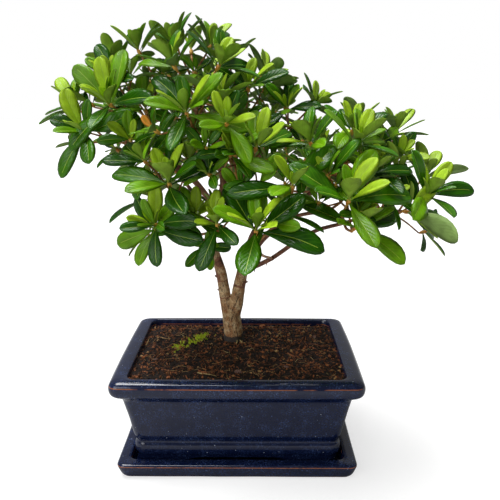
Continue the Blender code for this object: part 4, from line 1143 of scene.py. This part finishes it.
# heading: (azimuth, elevation), azimuth 0 is right, -90 front, 180 left.  leaf: length of the longest.
# spread: angle of a shoot's first leaf from its heading.  fan: the side on which the first shoot lies,
# and turn: the side to which its first leaf points, both from level to the right, rising.
Mass = namedtuple("Mass", "name bough heart heading shoots leaf spread fan turn")
MASSES = (
    Mass("low_front", "right_bough", (11, -68, 156), (-92, 40), 1, 38, 86, 0, -16),
    Mass("low_front_left", "low_left_bough", (-10, -56, 157), (-100, 30), 1, 27, 84, 0, 258),
    Mass("left_middle", "middle_left_bough", (-36, -49, 178), (-100, 40), 1, 37, 86, 0, 33),
    Mass("left_middle_outer", "middle_left_bough", (-52, -30, 188), (-125, 38), 1, 29, 80, 0, 153),
    Mass("right_low_front", "right_outer_bough", (59, -64, 171), (-80, 40), 1, 38, 86, 0, 8),
    Mass("right_front", "front_shoulder_bough", (30, -60, 178), (-95, 38), 1, 36, 82, 0, 52),
    Mass("right_front_upper", "front_shoulder_bough", (60, -49, 183), (-80, 60), 2, 26, 66, 0, 0),
    Mass("front_upper_left", "centre_front_bough", (-26, -45, 215), (-100, 36), 1, 34, 84, 0, -5),
    Mass("front_middle", "centre_front_bough", (0, -48, 194), (-85, 38), 1, 29, 80, 0, 50),
    Mass("front_upper", "centre_front_bough", (-6, -43, 216), (-80, 60), 2, 28, 70, 90, 90),
    Mass("left_front", "left_outer_bough", (-72, -22, 219), (-112, 20), 1, 36, 84, 0, 88),
    Mass("left_tip", "left_outer_bough", (-93, -8, 211), (-128, 36), 2, 32, 84, 140, 183),
    Mass("left_inner", "left_upper_bough", (-54, -8, 216), (-90, 35), 1, 28, 80, 0, 40),
    Mass("left_shoulder", "left_upper_bough", (-74, 4, 238), (-150, 58), 2, 28, 74, 150, 150),
    Mass("left_crest", "left_upper_bough", (-51, 10, 249), (120, 78), 2, 27, 66, 20, 20),
    Mass("low_left", "low_left_bough", (-48, -36, 160), (-125, 40), 2, 30, 86, 130, 143),
    Mass("low_left_inner", "low_left_bough", (-24, -41, 157), (-90, 35), 1, 26, 82, 0, 200),
    Mass("top", "leader", (-27, 6, 252), (100, 86), 3, 27, 62, 30, 30),
    Mass("top_front", "leader", (-22, -26, 240), (-90, 66), 2, 29, 64, 0, 0),
    Mass("top_right", "leader", (5, 10, 240), (40, 68), 2, 26, 70, 60, 60),
    Mass("front_centre", "upper_right_bough", (11, -50, 197), (-75, 45), 1, 31, 82, 0, 35),
    Mass("right_crest", "upper_right_bough", (12, -8, 229), (-35, 62), 2, 28, 72, 10, 40),
    Mass("right_slope", "upper_right_bough", (38, -4, 218), (-60, 45), 2, 25, 74, 10, 20),
    Mass("right_shoulder", "crest_bough", (53, -41, 199), (-90, 60), 2, 29, 68, 0, 0),
    Mass("right_top", "crest_bough", (73, -14, 203), (-20, 62), 3, 27, 70, 40, 40),
    Mass("right_outer", "crest_bough", (96, -4, 195), (-60, 50), 2, 28, 72, 60, 78),
    Mass("right_tip", "right_end_bough", (111, -16, 172), (-25, 50), 2, 33, 62, 200, 212),
    Mass("right_inner", "right_end_bough", (75, -42, 184), (-70, 52), 1, 29, 80, 0, 0),
    Mass("right_under", "right_end_bough", (97, -37, 160), (0, -12), 1, 38, 30, 0, 200),
    Mass("right_droop", "right_outer_bough", (66, -48, 154), (-60, 45), 1, 38, 84, 0, 13),
    Mass("back_left", "back_left_bough", (-52, 58, 192), (115, 38), 2, 30, 80, 15, 15),
    Mass("back_left_outer", "back_left_bough", (-80, 36, 206), (155, 42), 2, 30, 80, 50, 50),
    Mass("back_top", "back_top_bough", (-32, 50, 230), (110, 60), 3, 28, 72, 0, 0),
    Mass("back_crest", "back_top_bough", (12, 46, 218), (60, 56), 2, 30, 76, 35, 35),
    Mass("back_centre", "back_top_bough", (-8, 76, 194), (90, 35), 2, 31, 80, 70, 70),
    Mass("back_right", "back_right_bough", (44, 58, 185), (65, 42), 3, 29, 80, 20, 20),
    Mass("back_right_outer", "back_right_bough", (84, 36, 178), (20, 42), 2, 30, 80, 55, 55),
)
SIDE_SHOOTS_OF = {  # few at the crown's low edge, where there is light between the shoots
    "low_front": 1, "low_front_left": 1, "right_droop": 1, "right_under": 1, "low_left": 1, "left_tip": 1,
    "left_middle_outer": 1, "left_middle": 2, "right_tip": 2, "right_low_front": 1, "right_front": 2,
    "front_middle": 5, "front_centre": 5, "front_upper": 5, "left_inner": 5, "top_front": 4,
    "right_slope": 5, "right_crest": 5, "right_shoulder": 5,
    "back_left": 6, "back_centre": 6, "back_right": 6,
}
TURNED_LEAF = ("front_upper_left", 23)  # its mass and its number there: the one leaf gone orange
Leaf = namedtuple("Leaf", "root heading face length age")


# ------------------------------------------------------------------ foliage
def side_frame(axis):
    """Two directions square to an axis: level, and up."""
    level = UP.cross(axis)
    if level.length < NEARLY_UPRIGHT:
        level = Vector((1, 0, 0))
    level.normalize()
    return level, axis.cross(level).normalized()


def shoots_of(mass):
    """The places and headings of a mass's leafy shoots, fanned round its own heading."""
    heart, axis = Vector(mass.heart), heading_vector(*mass.heading)
    if mass.shoots == 1:
        return [(heart, axis)]
    level, rise = side_frame(axis)
    shoots = []
    for k in range(mass.shoots):
        angle = math.radians(mass.fan) + math.tau * k / mass.shoots
        outward = level * math.cos(angle) + rise * math.sin(angle)
        lean = math.radians(SHOOT_LEAN)
        place = heart + outward * mass.leaf * SHOOT_SPACING
        shoots.append((place, (axis * math.cos(lean) + outward * math.sin(lean)).normalized()))
    return shoots


def leaves_of(place, axis, leaf_length, spread, first_turn, rng, count):
    """A shoot's leaves in the order of a golden-angle whorl, from the widest to the steepest."""
    leaves = []
    for k in range(count):
        share = k / (count - 1)
        lifted = (axis + UP * SHOOT_LIFT * share**2).normalized()
        level, rise = side_frame(lifted)
        turn = first_turn + GOLDEN_ANGLE * k + rng.uniform(-TURN_CHANCE, TURN_CHANCE)
        outward = level * math.cos(turn) + rise * math.sin(turn)
        angle = math.radians(spread + (STEEPEST_LEAF - spread) * share**ANGLE_CURVE)
        angle += rng.uniform(-ANGLE_CHANCE, ANGLE_CHANCE)
        length = leaf_length * (WHORL_LENGTH[0] + (WHORL_LENGTH[1] - WHORL_LENGTH[0]) * share**LENGTH_CURVE)
        length *= rng.uniform(*LENGTH_CHANCE)
        heading = lifted * math.cos(angle) + outward * math.sin(angle)
        face = lifted * math.sin(angle) - outward * math.cos(angle)
        root = place - axis * SHOOT_END_LENGTH * ROOT_DEPTH * (1 - share)
        leaves.append(Leaf(root, heading, face, length, 1 - share))
    return leaves


def young_leaves_of(place, axis, leaf_length, first_turn, rng):
    """The small leaves that stand up in the middle of a shoot."""
    upright = (axis + UP * YOUNG_LIFT).normalized()
    level, rise = side_frame(upright)
    leaves = []
    for k in range(YOUNG_LEAVES):
        share = k / (YOUNG_LEAVES - 1)
        turn = first_turn + GOLDEN_ANGLE * (SHOOT_LEAVES + k)
        outward = level * math.cos(turn) + rise * math.sin(turn)
        angle = math.radians(YOUNG_ANGLE[0] + (YOUNG_ANGLE[1] - YOUNG_ANGLE[0]) * share)
        angle += rng.uniform(-YOUNG_CHANCE, YOUNG_CHANCE)
        length = leaf_length * (YOUNG_LENGTH[0] + (YOUNG_LENGTH[1] - YOUNG_LENGTH[0]) * share)
        heading = upright * math.cos(angle) + outward * math.sin(angle)
        face = upright * math.sin(angle) - outward * math.cos(angle)
        leaves.append(Leaf(place, heading, face, length * rng.uniform(*YOUNG_SIZES), YOUNG_AGE))
    return leaves


def side_shoots_of(mass, hub, rng):
    """Smaller shoots round a mass's hub, turned outward and up."""
    axis = heading_vector(*mass.heading)
    level, rise = side_frame(axis)
    shoots = []
    count = SIDE_SHOOTS_OF.get(mass.name, SIDE_SHOOTS)
    for k in range(count):
        angle = math.radians(mass.fan + SIDE_FAN) + math.tau * k / count
        angle += rng.uniform(-SIDE_CHANCE, SIDE_CHANCE)
        outward = level * math.cos(angle) + rise * math.sin(angle)
        place = hub + (outward * SIDE_PLACE[0] + axis * SIDE_PLACE[1]) * mass.leaf * SIDE_SHOOT_REACH
        heading = outward * SIDE_HEADING[0] + axis * SIDE_HEADING[1] + UP * SIDE_HEADING[2]
        shoots.append((place, heading.normalized()))
    return shoots


def coarse_blade(leaf):
    """The outline of a leaf's blade as a few corners, to find what it meets."""
    side = leaf.heading.cross(leaf.face)
    corners = []
    for along, across in COARSE_OUTLINE:
        lift = COARSE_KEEL * abs(across) - COARSE_DROOP * along * along
        corners.append(leaf.root + (leaf.heading * along + side * across) * leaf.length
                       + leaf.face * leaf.length * lift)
    return corners, COARSE_FACES


class Blocker:
    """Something that a leaf keeps clear of, with the ball that holds it."""

    def __init__(self, tree, middle, radius):
        self.tree, self.middle, self.radius = tree, middle, radius

    def meets(self, other):
        """Whether another blocker runs through this one."""
        near = (other.middle - self.middle).length_squared < (other.radius + self.radius) ** 2
        return near and bool(self.tree.overlap(other.tree))


def blocker_of_leaf(leaf):
    """A leaf's blade as a blocker."""
    middle, radius = LEAF_BALL
    tree = BVHTree.FromPolygons(*coarse_blade(leaf))
    return Blocker(tree, leaf.root + leaf.heading * leaf.length * middle, leaf.length * radius)


class Crown:
    """The leaves that have found room so far, kept in cells so that a new one meets only its neighbours."""

    CELL = 30

    def __init__(self, limbs):
        self.cells, self.limbs = {}, limbs

    def key(self, place):
        """The cell in which a place lies."""
        return tuple(int(c // self.CELL) for c in place)

    def try_leaf(self, leaf, tries=LEAF_TRIES):
        """The leaf at the first of these sizes that has room, which it then takes, or None."""
        for scale in tries:
            fitted = leaf._replace(length=leaf.length * scale)
            blocker = blocker_of_leaf(fitted)
            if min(corner.z for corner in coarse_blade(fitted)[0]) < LOWEST_LEAF:
                continue
            if self.limbs.overlap(blocker.tree):
                continue
            x, y, z = self.key(blocker.middle)
            near = [one for dx in (-1, 0, 1) for dy in (-1, 0, 1) for dz in (-1, 0, 1)
                    for one in self.cells.get((x + dx, y + dy, z + dz), ())]
            if any(one.meets(blocker) for one in near):
                continue
            self.cells.setdefault((x, y, z), []).append(blocker)
            return fitted
        return None


def fine_blade(leaf, rng, slots):
    """A leaf with a hollowed midrib and swelling halves. Gives corners, faces, slots and map places."""
    top_slot, under_slot = slots
    side = leaf.heading.cross(leaf.face)
    droop = rng.uniform(*BLADE_DROOP) + AGE_DROOP * max(0.0, leaf.age)
    keel = rng.uniform(*BLADE_KEEL)
    swell = rng.uniform(*BLADE_SWELL)
    twist = rng.uniform(-BLADE_TWIST, BLADE_TWIST)
    sway = rng.uniform(-BLADE_SWAY, BLADE_SWAY)
    widest = LEAF_HALF_WIDTH * rng.uniform(*BLADE_WIDTHS) * leaf.length
    points, uvs = [], []
    columns = [(c, False) for c in BLADE_COLUMNS] + [(c, True) for c in UNDER_COLUMNS]
    for along, width in BLADE_STATIONS:
        turned = side * math.cos(twist * along) + leaf.face * math.sin(twist * along)
        lifted = leaf.face * math.cos(twist * along) - side * math.sin(twist * along)
        middle = leaf.root + leaf.heading * along * leaf.length * (1 - DROOP_SHORTENS * droop * along)
        middle += (side * sway * along * (1 - along) * 4 - leaf.face * droop * along * along) * leaf.length
        for across, under in columns:
            reach = widest * width
            curl = keel * abs(across) * 2 * reach
            curl += swell * leaf.length * width * math.sin(math.pi * abs(across))
            point = middle + turned * across * reach + lifted * curl
            if under:
                thickness = LEAF_THICKNESS * leaf.length * (RIB_THICKER if across == 0 else 1.0)
                body = min(1.0, width * 3)  # full where the blade is wider than a third of its widest
                point -= lifted * max(thickness, THINNEST_LEAF) * (THIN_ENDS + (1 - THIN_ENDS) * body)
            points.append(point)
            uvs.append((abs(across), along))
    faces, face_slots = [], []
    row = len(columns)
    top_count = len(BLADE_COLUMNS)
    under_order = [top_count - 1, *range(row - 1, top_count - 1, -1), 0]
    for k in range(len(BLADE_STATIONS) - 1):
        low, high = k * row, (k + 1) * row
        for c in range(top_count - 1):
            faces.append((low + c, high + c, high + c + 1, low + c + 1))
            rib = c == top_count // 2 - 1 and k < RIB_STATIONS
            face_slots.append(RIB if rib else top_slot)
        for a, b in zip(under_order, under_order[1:]):
            faces.append((low + a, high + a, high + b, low + b))
            face_slots.append(under_slot)
    ring = [*range(top_count), *range(row - 1, top_count - 1, -1)]
    faces.append(tuple(ring))
    faces.append(tuple((len(BLADE_STATIONS) - 1) * row + c for c in reversed(ring)))
    face_slots += [STALK, top_slot]
    return points, faces, face_slots, uvs


def colours_of(leaf, rng, mood):
    """The slots of a leaf's two skins: deep green on old leaves, yellow green on the newest."""
    if leaf.age == YOUNG_AGE:
        return (NEW, UNDER_NEW)
    if leaf.age < FRESH_AGE:
        top = rng.choices((FRESH, NEW, GROWN), weights=FRESH_WEIGHTS)[0]
        return (top, UNDER_NEW)
    top = rng.choices((OLD, GROWN, FRESH), weights=mood)[0]
    return (top, UNDER_OLD if rng.random() < OLD_UNDERSIDES else UNDER_NEW)


def twig_route(start, end, rng, sway):
    """A twig from one point to another, slightly bent."""
    run = end - start
    bend = run.orthogonal().normalized() * rng.uniform(-sway, sway) * run.length
    return smooth_route([start, start.lerp(end, 0.5) + bend, end], TWIG_STEP)


def grow_shoot(batch, place, axis, foot, radii, rng):
    """A twig from its foot to a shoot, its swollen end in which the leaves are rooted, and its bud."""
    twig = twig_route(foot, place - axis * SHOOT_END_LENGTH, rng, TWIG_SWAY)
    batch.add(*strand_shape(twig, even_radii(twig, *radii), TWIG_SIDES), TWIG_WOOD)
    end = []
    for k in range(SHOOT_END_STEPS + 1):
        share = k / SHOOT_END_STEPS
        end.append(place - axis * (SHOOT_END_LENGTH * (1 - share) - SHOOT_END_PAST * share))
    batch.add(*strand_shape(end, (radii[1], *SHOOT_END_RADII), TWIG_SIDES), SHOOT_END)
    bud = [place + axis * ahead for ahead in BUD_PLACES]
    batch.add(*strand_shape(bud, BUD_RADII, BUD_SIDES), BUD)


def grow_crown(lines, limb_tree):
    """Every mass's twigs, and the leaves that find room, by mass."""
    crown = Crown(limb_tree)
    twigs = Batch()
    grown = {mass.name: [] for mass in MASSES}
    shoots, side_shoots, hubs = {}, {}, {}
    for mass in MASSES:
        rng = random.Random(f"{mass.name}_twigs")
        depth = HUB_DEPTH_OF.get(mass.name, HUB_DEPTH if mass.shoots > 1 else LONE_HUB_DEPTH)
        hub = Vector(mass.heart) - heading_vector(*mass.heading) * depth * mass.leaf
        stem = twig_route(lines[mass.bough][-1], hub, rng, STEM_SWAY)
        twigs.add(*strand_shape(stem, even_radii(stem, *STEM_RADII), TWIG_SIDES), TWIG_WOOD)
        shoots[mass.name] = shoots_of(mass)
        side_shoots[mass.name] = side_shoots_of(mass, hub, rng)
        for place, axis in shoots[mass.name]:
            grow_shoot(twigs, place, axis, hub, TWIG_RADII, rng)
        hubs[mass.name] = hub
    for mass in MASSES:
        rng = random.Random(mass.name)
        for number, (place, axis) in enumerate(shoots[mass.name]):
            turn = math.radians(mass.turn) + number * NEXT_SHOOT_TURN
            for leaf in leaves_of(place, axis, mass.leaf, mass.spread, turn, rng, SHOOT_LEAVES):
                grown[mass.name].append(crown.try_leaf(leaf))
    for mass in MASSES:
        rng = random.Random(f"{mass.name}_young")
        for number, (place, axis) in enumerate(shoots[mass.name]):
            turn = math.radians(mass.turn) + number * NEXT_SHOOT_TURN
            for leaf in young_leaves_of(place, axis, mass.leaf, turn, rng):
                grown[mass.name].append(crown.try_leaf(leaf, YOUNG_TRIES))
    for mass in MASSES:
        rng = random.Random(f"{mass.name}_side")
        for place, axis in side_shoots[mass.name]:
            length = mass.leaf * SIDE_SHOOT_LEAF * rng.uniform(*SIDE_SIZES)
            turn = rng.uniform(0, math.tau)
            rosette = leaves_of(place, axis, length, SIDE_SPREAD, turn, rng, SIDE_SHOOT_LEAVES)
            leaves = [leaf for leaf in map(crown.try_leaf, rosette) if leaf]
            if len(leaves) >= FEWEST_LEAVES:
                grow_shoot(twigs, place, axis, hubs[mass.name], SIDE_TWIG_RADII, rng)
                grown[mass.name] += leaves
    return twigs, {name: [leaf for leaf in some if leaf] for name, some in grown.items()}


def make_leaves(grown, materials):
    """The leaves joined into pieces by the side of the crown they are on, and what each stands for."""
    bags = {}
    turned_mass, turned_number = TURNED_LEAF
    turned_leaf = grown[turned_mass][turned_number]
    for mass in MASSES:
        if mass.name.startswith("back"):
            side = "back"
        elif mass.heart[0] < LEFT_OF:
            side = "left"
        elif mass.heart[0] > RIGHT_OF:
            side = "right"
        else:
            side = "middle"
        batch, names = bags.setdefault(side, (Batch(), []))
        names.append(f"foliage_{mass.name}")
        rng = random.Random(f"{mass.name}_blades")
        mood = rng.choice(MOODS)
        for leaf in grown[mass.name]:
            skins = colours_of(leaf, rng, mood)
            if leaf is turned_leaf:
                skins = (TURNED, TURNED)
            points, faces, slots, uvs = fine_blade(leaf, rng, skins)
            batch.add(points, faces, slots, uvs)
    pieces = []
    for side, (batch, names) in bags.items():
        pieces.append((batch.piece(f"leaves_{side}", materials), names))
    return pieces


# ------------------------------------------------------------------ the whole object
def ride_all(piece, slot, *nodes):
    """Fixes a piece to the root, in place of the nodes that it dresses. Its slot is not used."""
    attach(piece, "root")
    if nodes:
        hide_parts(*nodes)


def dress():
    """Every piece of the object, with its finish."""
    pot_glaze = stoneware_glaze("cobalt_stoneware_glaze", break_height=60.0, footing=4.4)
    saucer_glaze = stoneware_glaze("cobalt_stoneware_glaze_saucer", break_height=8.0, footing=0.8)
    ride_all(make_pot(pot_glaze), "pot_glaze", "pot")
    ride_all(make_saucer(saucer_glaze), "saucer_glaze", "saucer")

    black_peat = damp_peat("milled_peat_black", "#0d0806", "#2c1b11", 1.1)
    brown_peat = damp_peat("milled_peat_brown", "#38200f", "#8a5532", 0.9)
    rust_chip = plant_fibre("pine_bark_rust", "#74401f", "#b0693a", 0.75)
    tan_fibre = plant_fibre("dry_root_tan", "#8a6238", "#c09a62", 0.7)
    pale_fibre = plant_fibre("dry_root_pale", "#a5874f", "#d9c48c", 0.65)
    rust_fibre = plant_fibre("dry_root_rust", "#5b3018", "#96592f", 0.7)
    grey_chip = plant_fibre("weathered_bark", "#5a4036", "#87655a", 0.7)
    moss = plant_fibre("cushion_moss", "#8aa806", "#d2e224", 0.6)
    ride_all(make_soil_skin(black_peat), "peat", "soil")
    ride_all(make_crumbs([black_peat, brown_peat, rust_chip, tan_fibre]), "peat")
    ride_all(make_fibres([rust_fibre, tan_fibre, pale_fibre]), "peat")
    ride_all(make_chips([black_peat, brown_peat, grey_chip, rust_chip]), "peat")
    ride_all(make_moss(moss), "peat")

    lines, girths = limb_routes()
    bark = make_bark(lines, girths, azalea_bark("azalea_bark"))
    ride_all(bark, "bark", "trunk", *(limb.name for limb in LIMBS))
    limb_tree = BVHTree.FromPolygons([vert.co / MM for vert in bark.data.vertices],
                                     [tuple(face.vertices) for face in bark.data.polygons])
    twigs, grown = grow_crown(lines, limb_tree)
    twig_wood = young_wood("one_year_azalea_wood", "#764624", "#be8644")
    stalk = young_wood("azalea_leaf_stalk", "#b87420", "#e8b24e")
    bud = young_wood("azalea_leaf_bud", "#8c8a2a", "#b9c24a")
    ride_all(twigs.piece("twigs", [twig_wood, stalk, bud]), "bark")
    blades = [
        azalea_leaf("azalea_leaf_old", "#215202", "#4c7d10", 0.24, 0.3),
        azalea_leaf("azalea_leaf_grown", "#376c03", "#64970e", 0.27, 0.3),
        azalea_leaf("azalea_leaf_fresh", "#629404", "#8cb61c", 0.34, 0.25),
        azalea_leaf("azalea_leaf_new", "#98ba1e", "#82a216", 0.45, 0.25),
        waxy_rib("azalea_midrib", "#95b52c"),
        azalea_leaf("azalea_leaf_under_old", "#7d9a50", "#95ad6a", 0.62, 0.25),
        azalea_leaf("azalea_leaf_under_new", "#92b43c", "#7a9c30", 0.55, 0.3),
        stalk,
        azalea_leaf("azalea_leaf_turned", "#d8891c", "#e9b04a", 0.45, 0.3),
    ]
    for piece, nodes in make_leaves(grown, blades):
        ride_all(piece, "leaf_green", *nodes)


# ------------------------------------------------------------------ the stage
ROOM_FRONT, ROOM_BACK = 0.12, 0.34
ROOM_TURN = (-0.3, 0.7)  # the room brightens from front to back between these shares of the way
FLOOR_REACH = 6000
FLEECE = 2.5  # how wide the paper's unevenness is
FLOOR_GLOW = (0.05, 0.7)  # how much light the floor gives the plant, and the eye
LAMPS = (  # name, where it stands, how wide it looks in degrees, and its strength
    ("overhead_lamp", (-0.2, 0.1, 1.0), 38, 4.3),
    ("side_lamp", (-0.8, -1.0, 0.6), 40, 1.2),
)


def make_stage():
    """A pale floor, a white room and two wide soft lamps."""
    floor_material, tree, surface = new_material("matt_white_paper")
    place = add_node(tree, "ShaderNodeTexCoord", {}).outputs["Object"]
    fleece = add_node(tree, "ShaderNodeTexNoise", {"Vector": place, "Scale": 1 / (FLEECE * MM)})
    bump = add_node(tree, "ShaderNodeBump", {"Height": fleece.outputs["Fac"], "Strength": 0.02})
    tree.links.new(bump.outputs["Normal"], surface.inputs["Normal"])
    surface.inputs["Base Color"].default_value = colour("#a5a5a5")
    surface.inputs["Emission Color"].default_value = (1, 1, 1, 1)
    # The paper is lit from below, and its glow is meant for the eye more than for the plant.
    seen = add_node(tree, "ShaderNodeLightPath", {}).outputs["Is Camera Ray"]
    glow = add_node(tree, "ShaderNodeMapRange", {"Value": seen, "To Min": FLOOR_GLOW[0],
                                                 "To Max": FLOOR_GLOW[1]})
    tree.links.new(glow.outputs[0], surface.inputs["Emission Strength"])
    surface.inputs["Roughness"].default_value = 0.95
    surface.inputs["Specular IOR Level"].default_value = 0.1
    bm = bmesh.new()
    bmesh.ops.create_grid(bm, x_segments=1, y_segments=1, size=FLOOR_REACH)
    floor = piece_from_bmesh("floor", bm, [floor_material])

    world = bpy.data.worlds.new("white_room")
    world.use_nodes = True
    bpy.context.scene.world = world
    tree = world.node_tree
    # The room is bright behind the object and dim in front; the paper backdrop itself shows white.
    toward = add_node(tree, "ShaderNodeTexCoord", {}).outputs["Generated"]
    parts = add_node(tree, "ShaderNodeSeparateXYZ", {"Vector": toward})
    glow = add_node(tree, "ShaderNodeMapRange", {"Value": parts.outputs["Y"], "From Min": ROOM_TURN[0],
                                                 "From Max": ROOM_TURN[1], "To Min": ROOM_FRONT,
                                                 "To Max": ROOM_BACK})
    seen = add_node(tree, "ShaderNodeLightPath", {}).outputs["Is Camera Ray"]
    strength = add_node(tree, "ShaderNodeMix", {0: seen, 2: glow.outputs[0], 3: 1.0}, data_type="FLOAT")
    tree.links.new(strength.outputs[0], tree.nodes["Background"].inputs["Strength"])
    tree.nodes["Background"].inputs["Color"].default_value = (1, 1, 1, 1)
    for name, toward_lamp, spread, strength in LAMPS:
        lamp = bpy.data.lights.new(name, "SUN")
        lamp.angle = math.radians(spread)
        lamp.energy = strength
        stand = bpy.data.objects.new(name, lamp)
        stand.rotation_euler = Vector(toward_lamp).to_track_quat("Z", "Y").to_euler()
        bpy.context.scene.collection.objects.link(stand)
    bpy.context.scene.view_settings.view_transform = "Standard"


# ------------------------------------------------------------------ the camera
LENS = 43.909
SENSOR = 36
CLIP_START = 0.01
CAMERA_PLACE = (0.01012, -0.37635, 0.22242)
CAMERA_TURN = (1.3269, 0, 0.0072)


def make_camera():
    """A camera in front of the object and a little above it."""
    lens = bpy.data.cameras.new("camera")
    lens.lens = LENS
    lens.sensor_width = SENSOR
    lens.clip_start = CLIP_START
    camera = bpy.data.objects.new("camera", lens)
    camera.location = CAMERA_PLACE
    camera.rotation_euler = CAMERA_TURN
    bpy.context.scene.collection.objects.link(camera)
    bpy.context.scene.camera = camera


make_camera()
make_stage()
dress()
bpy.context.view_layer.update()
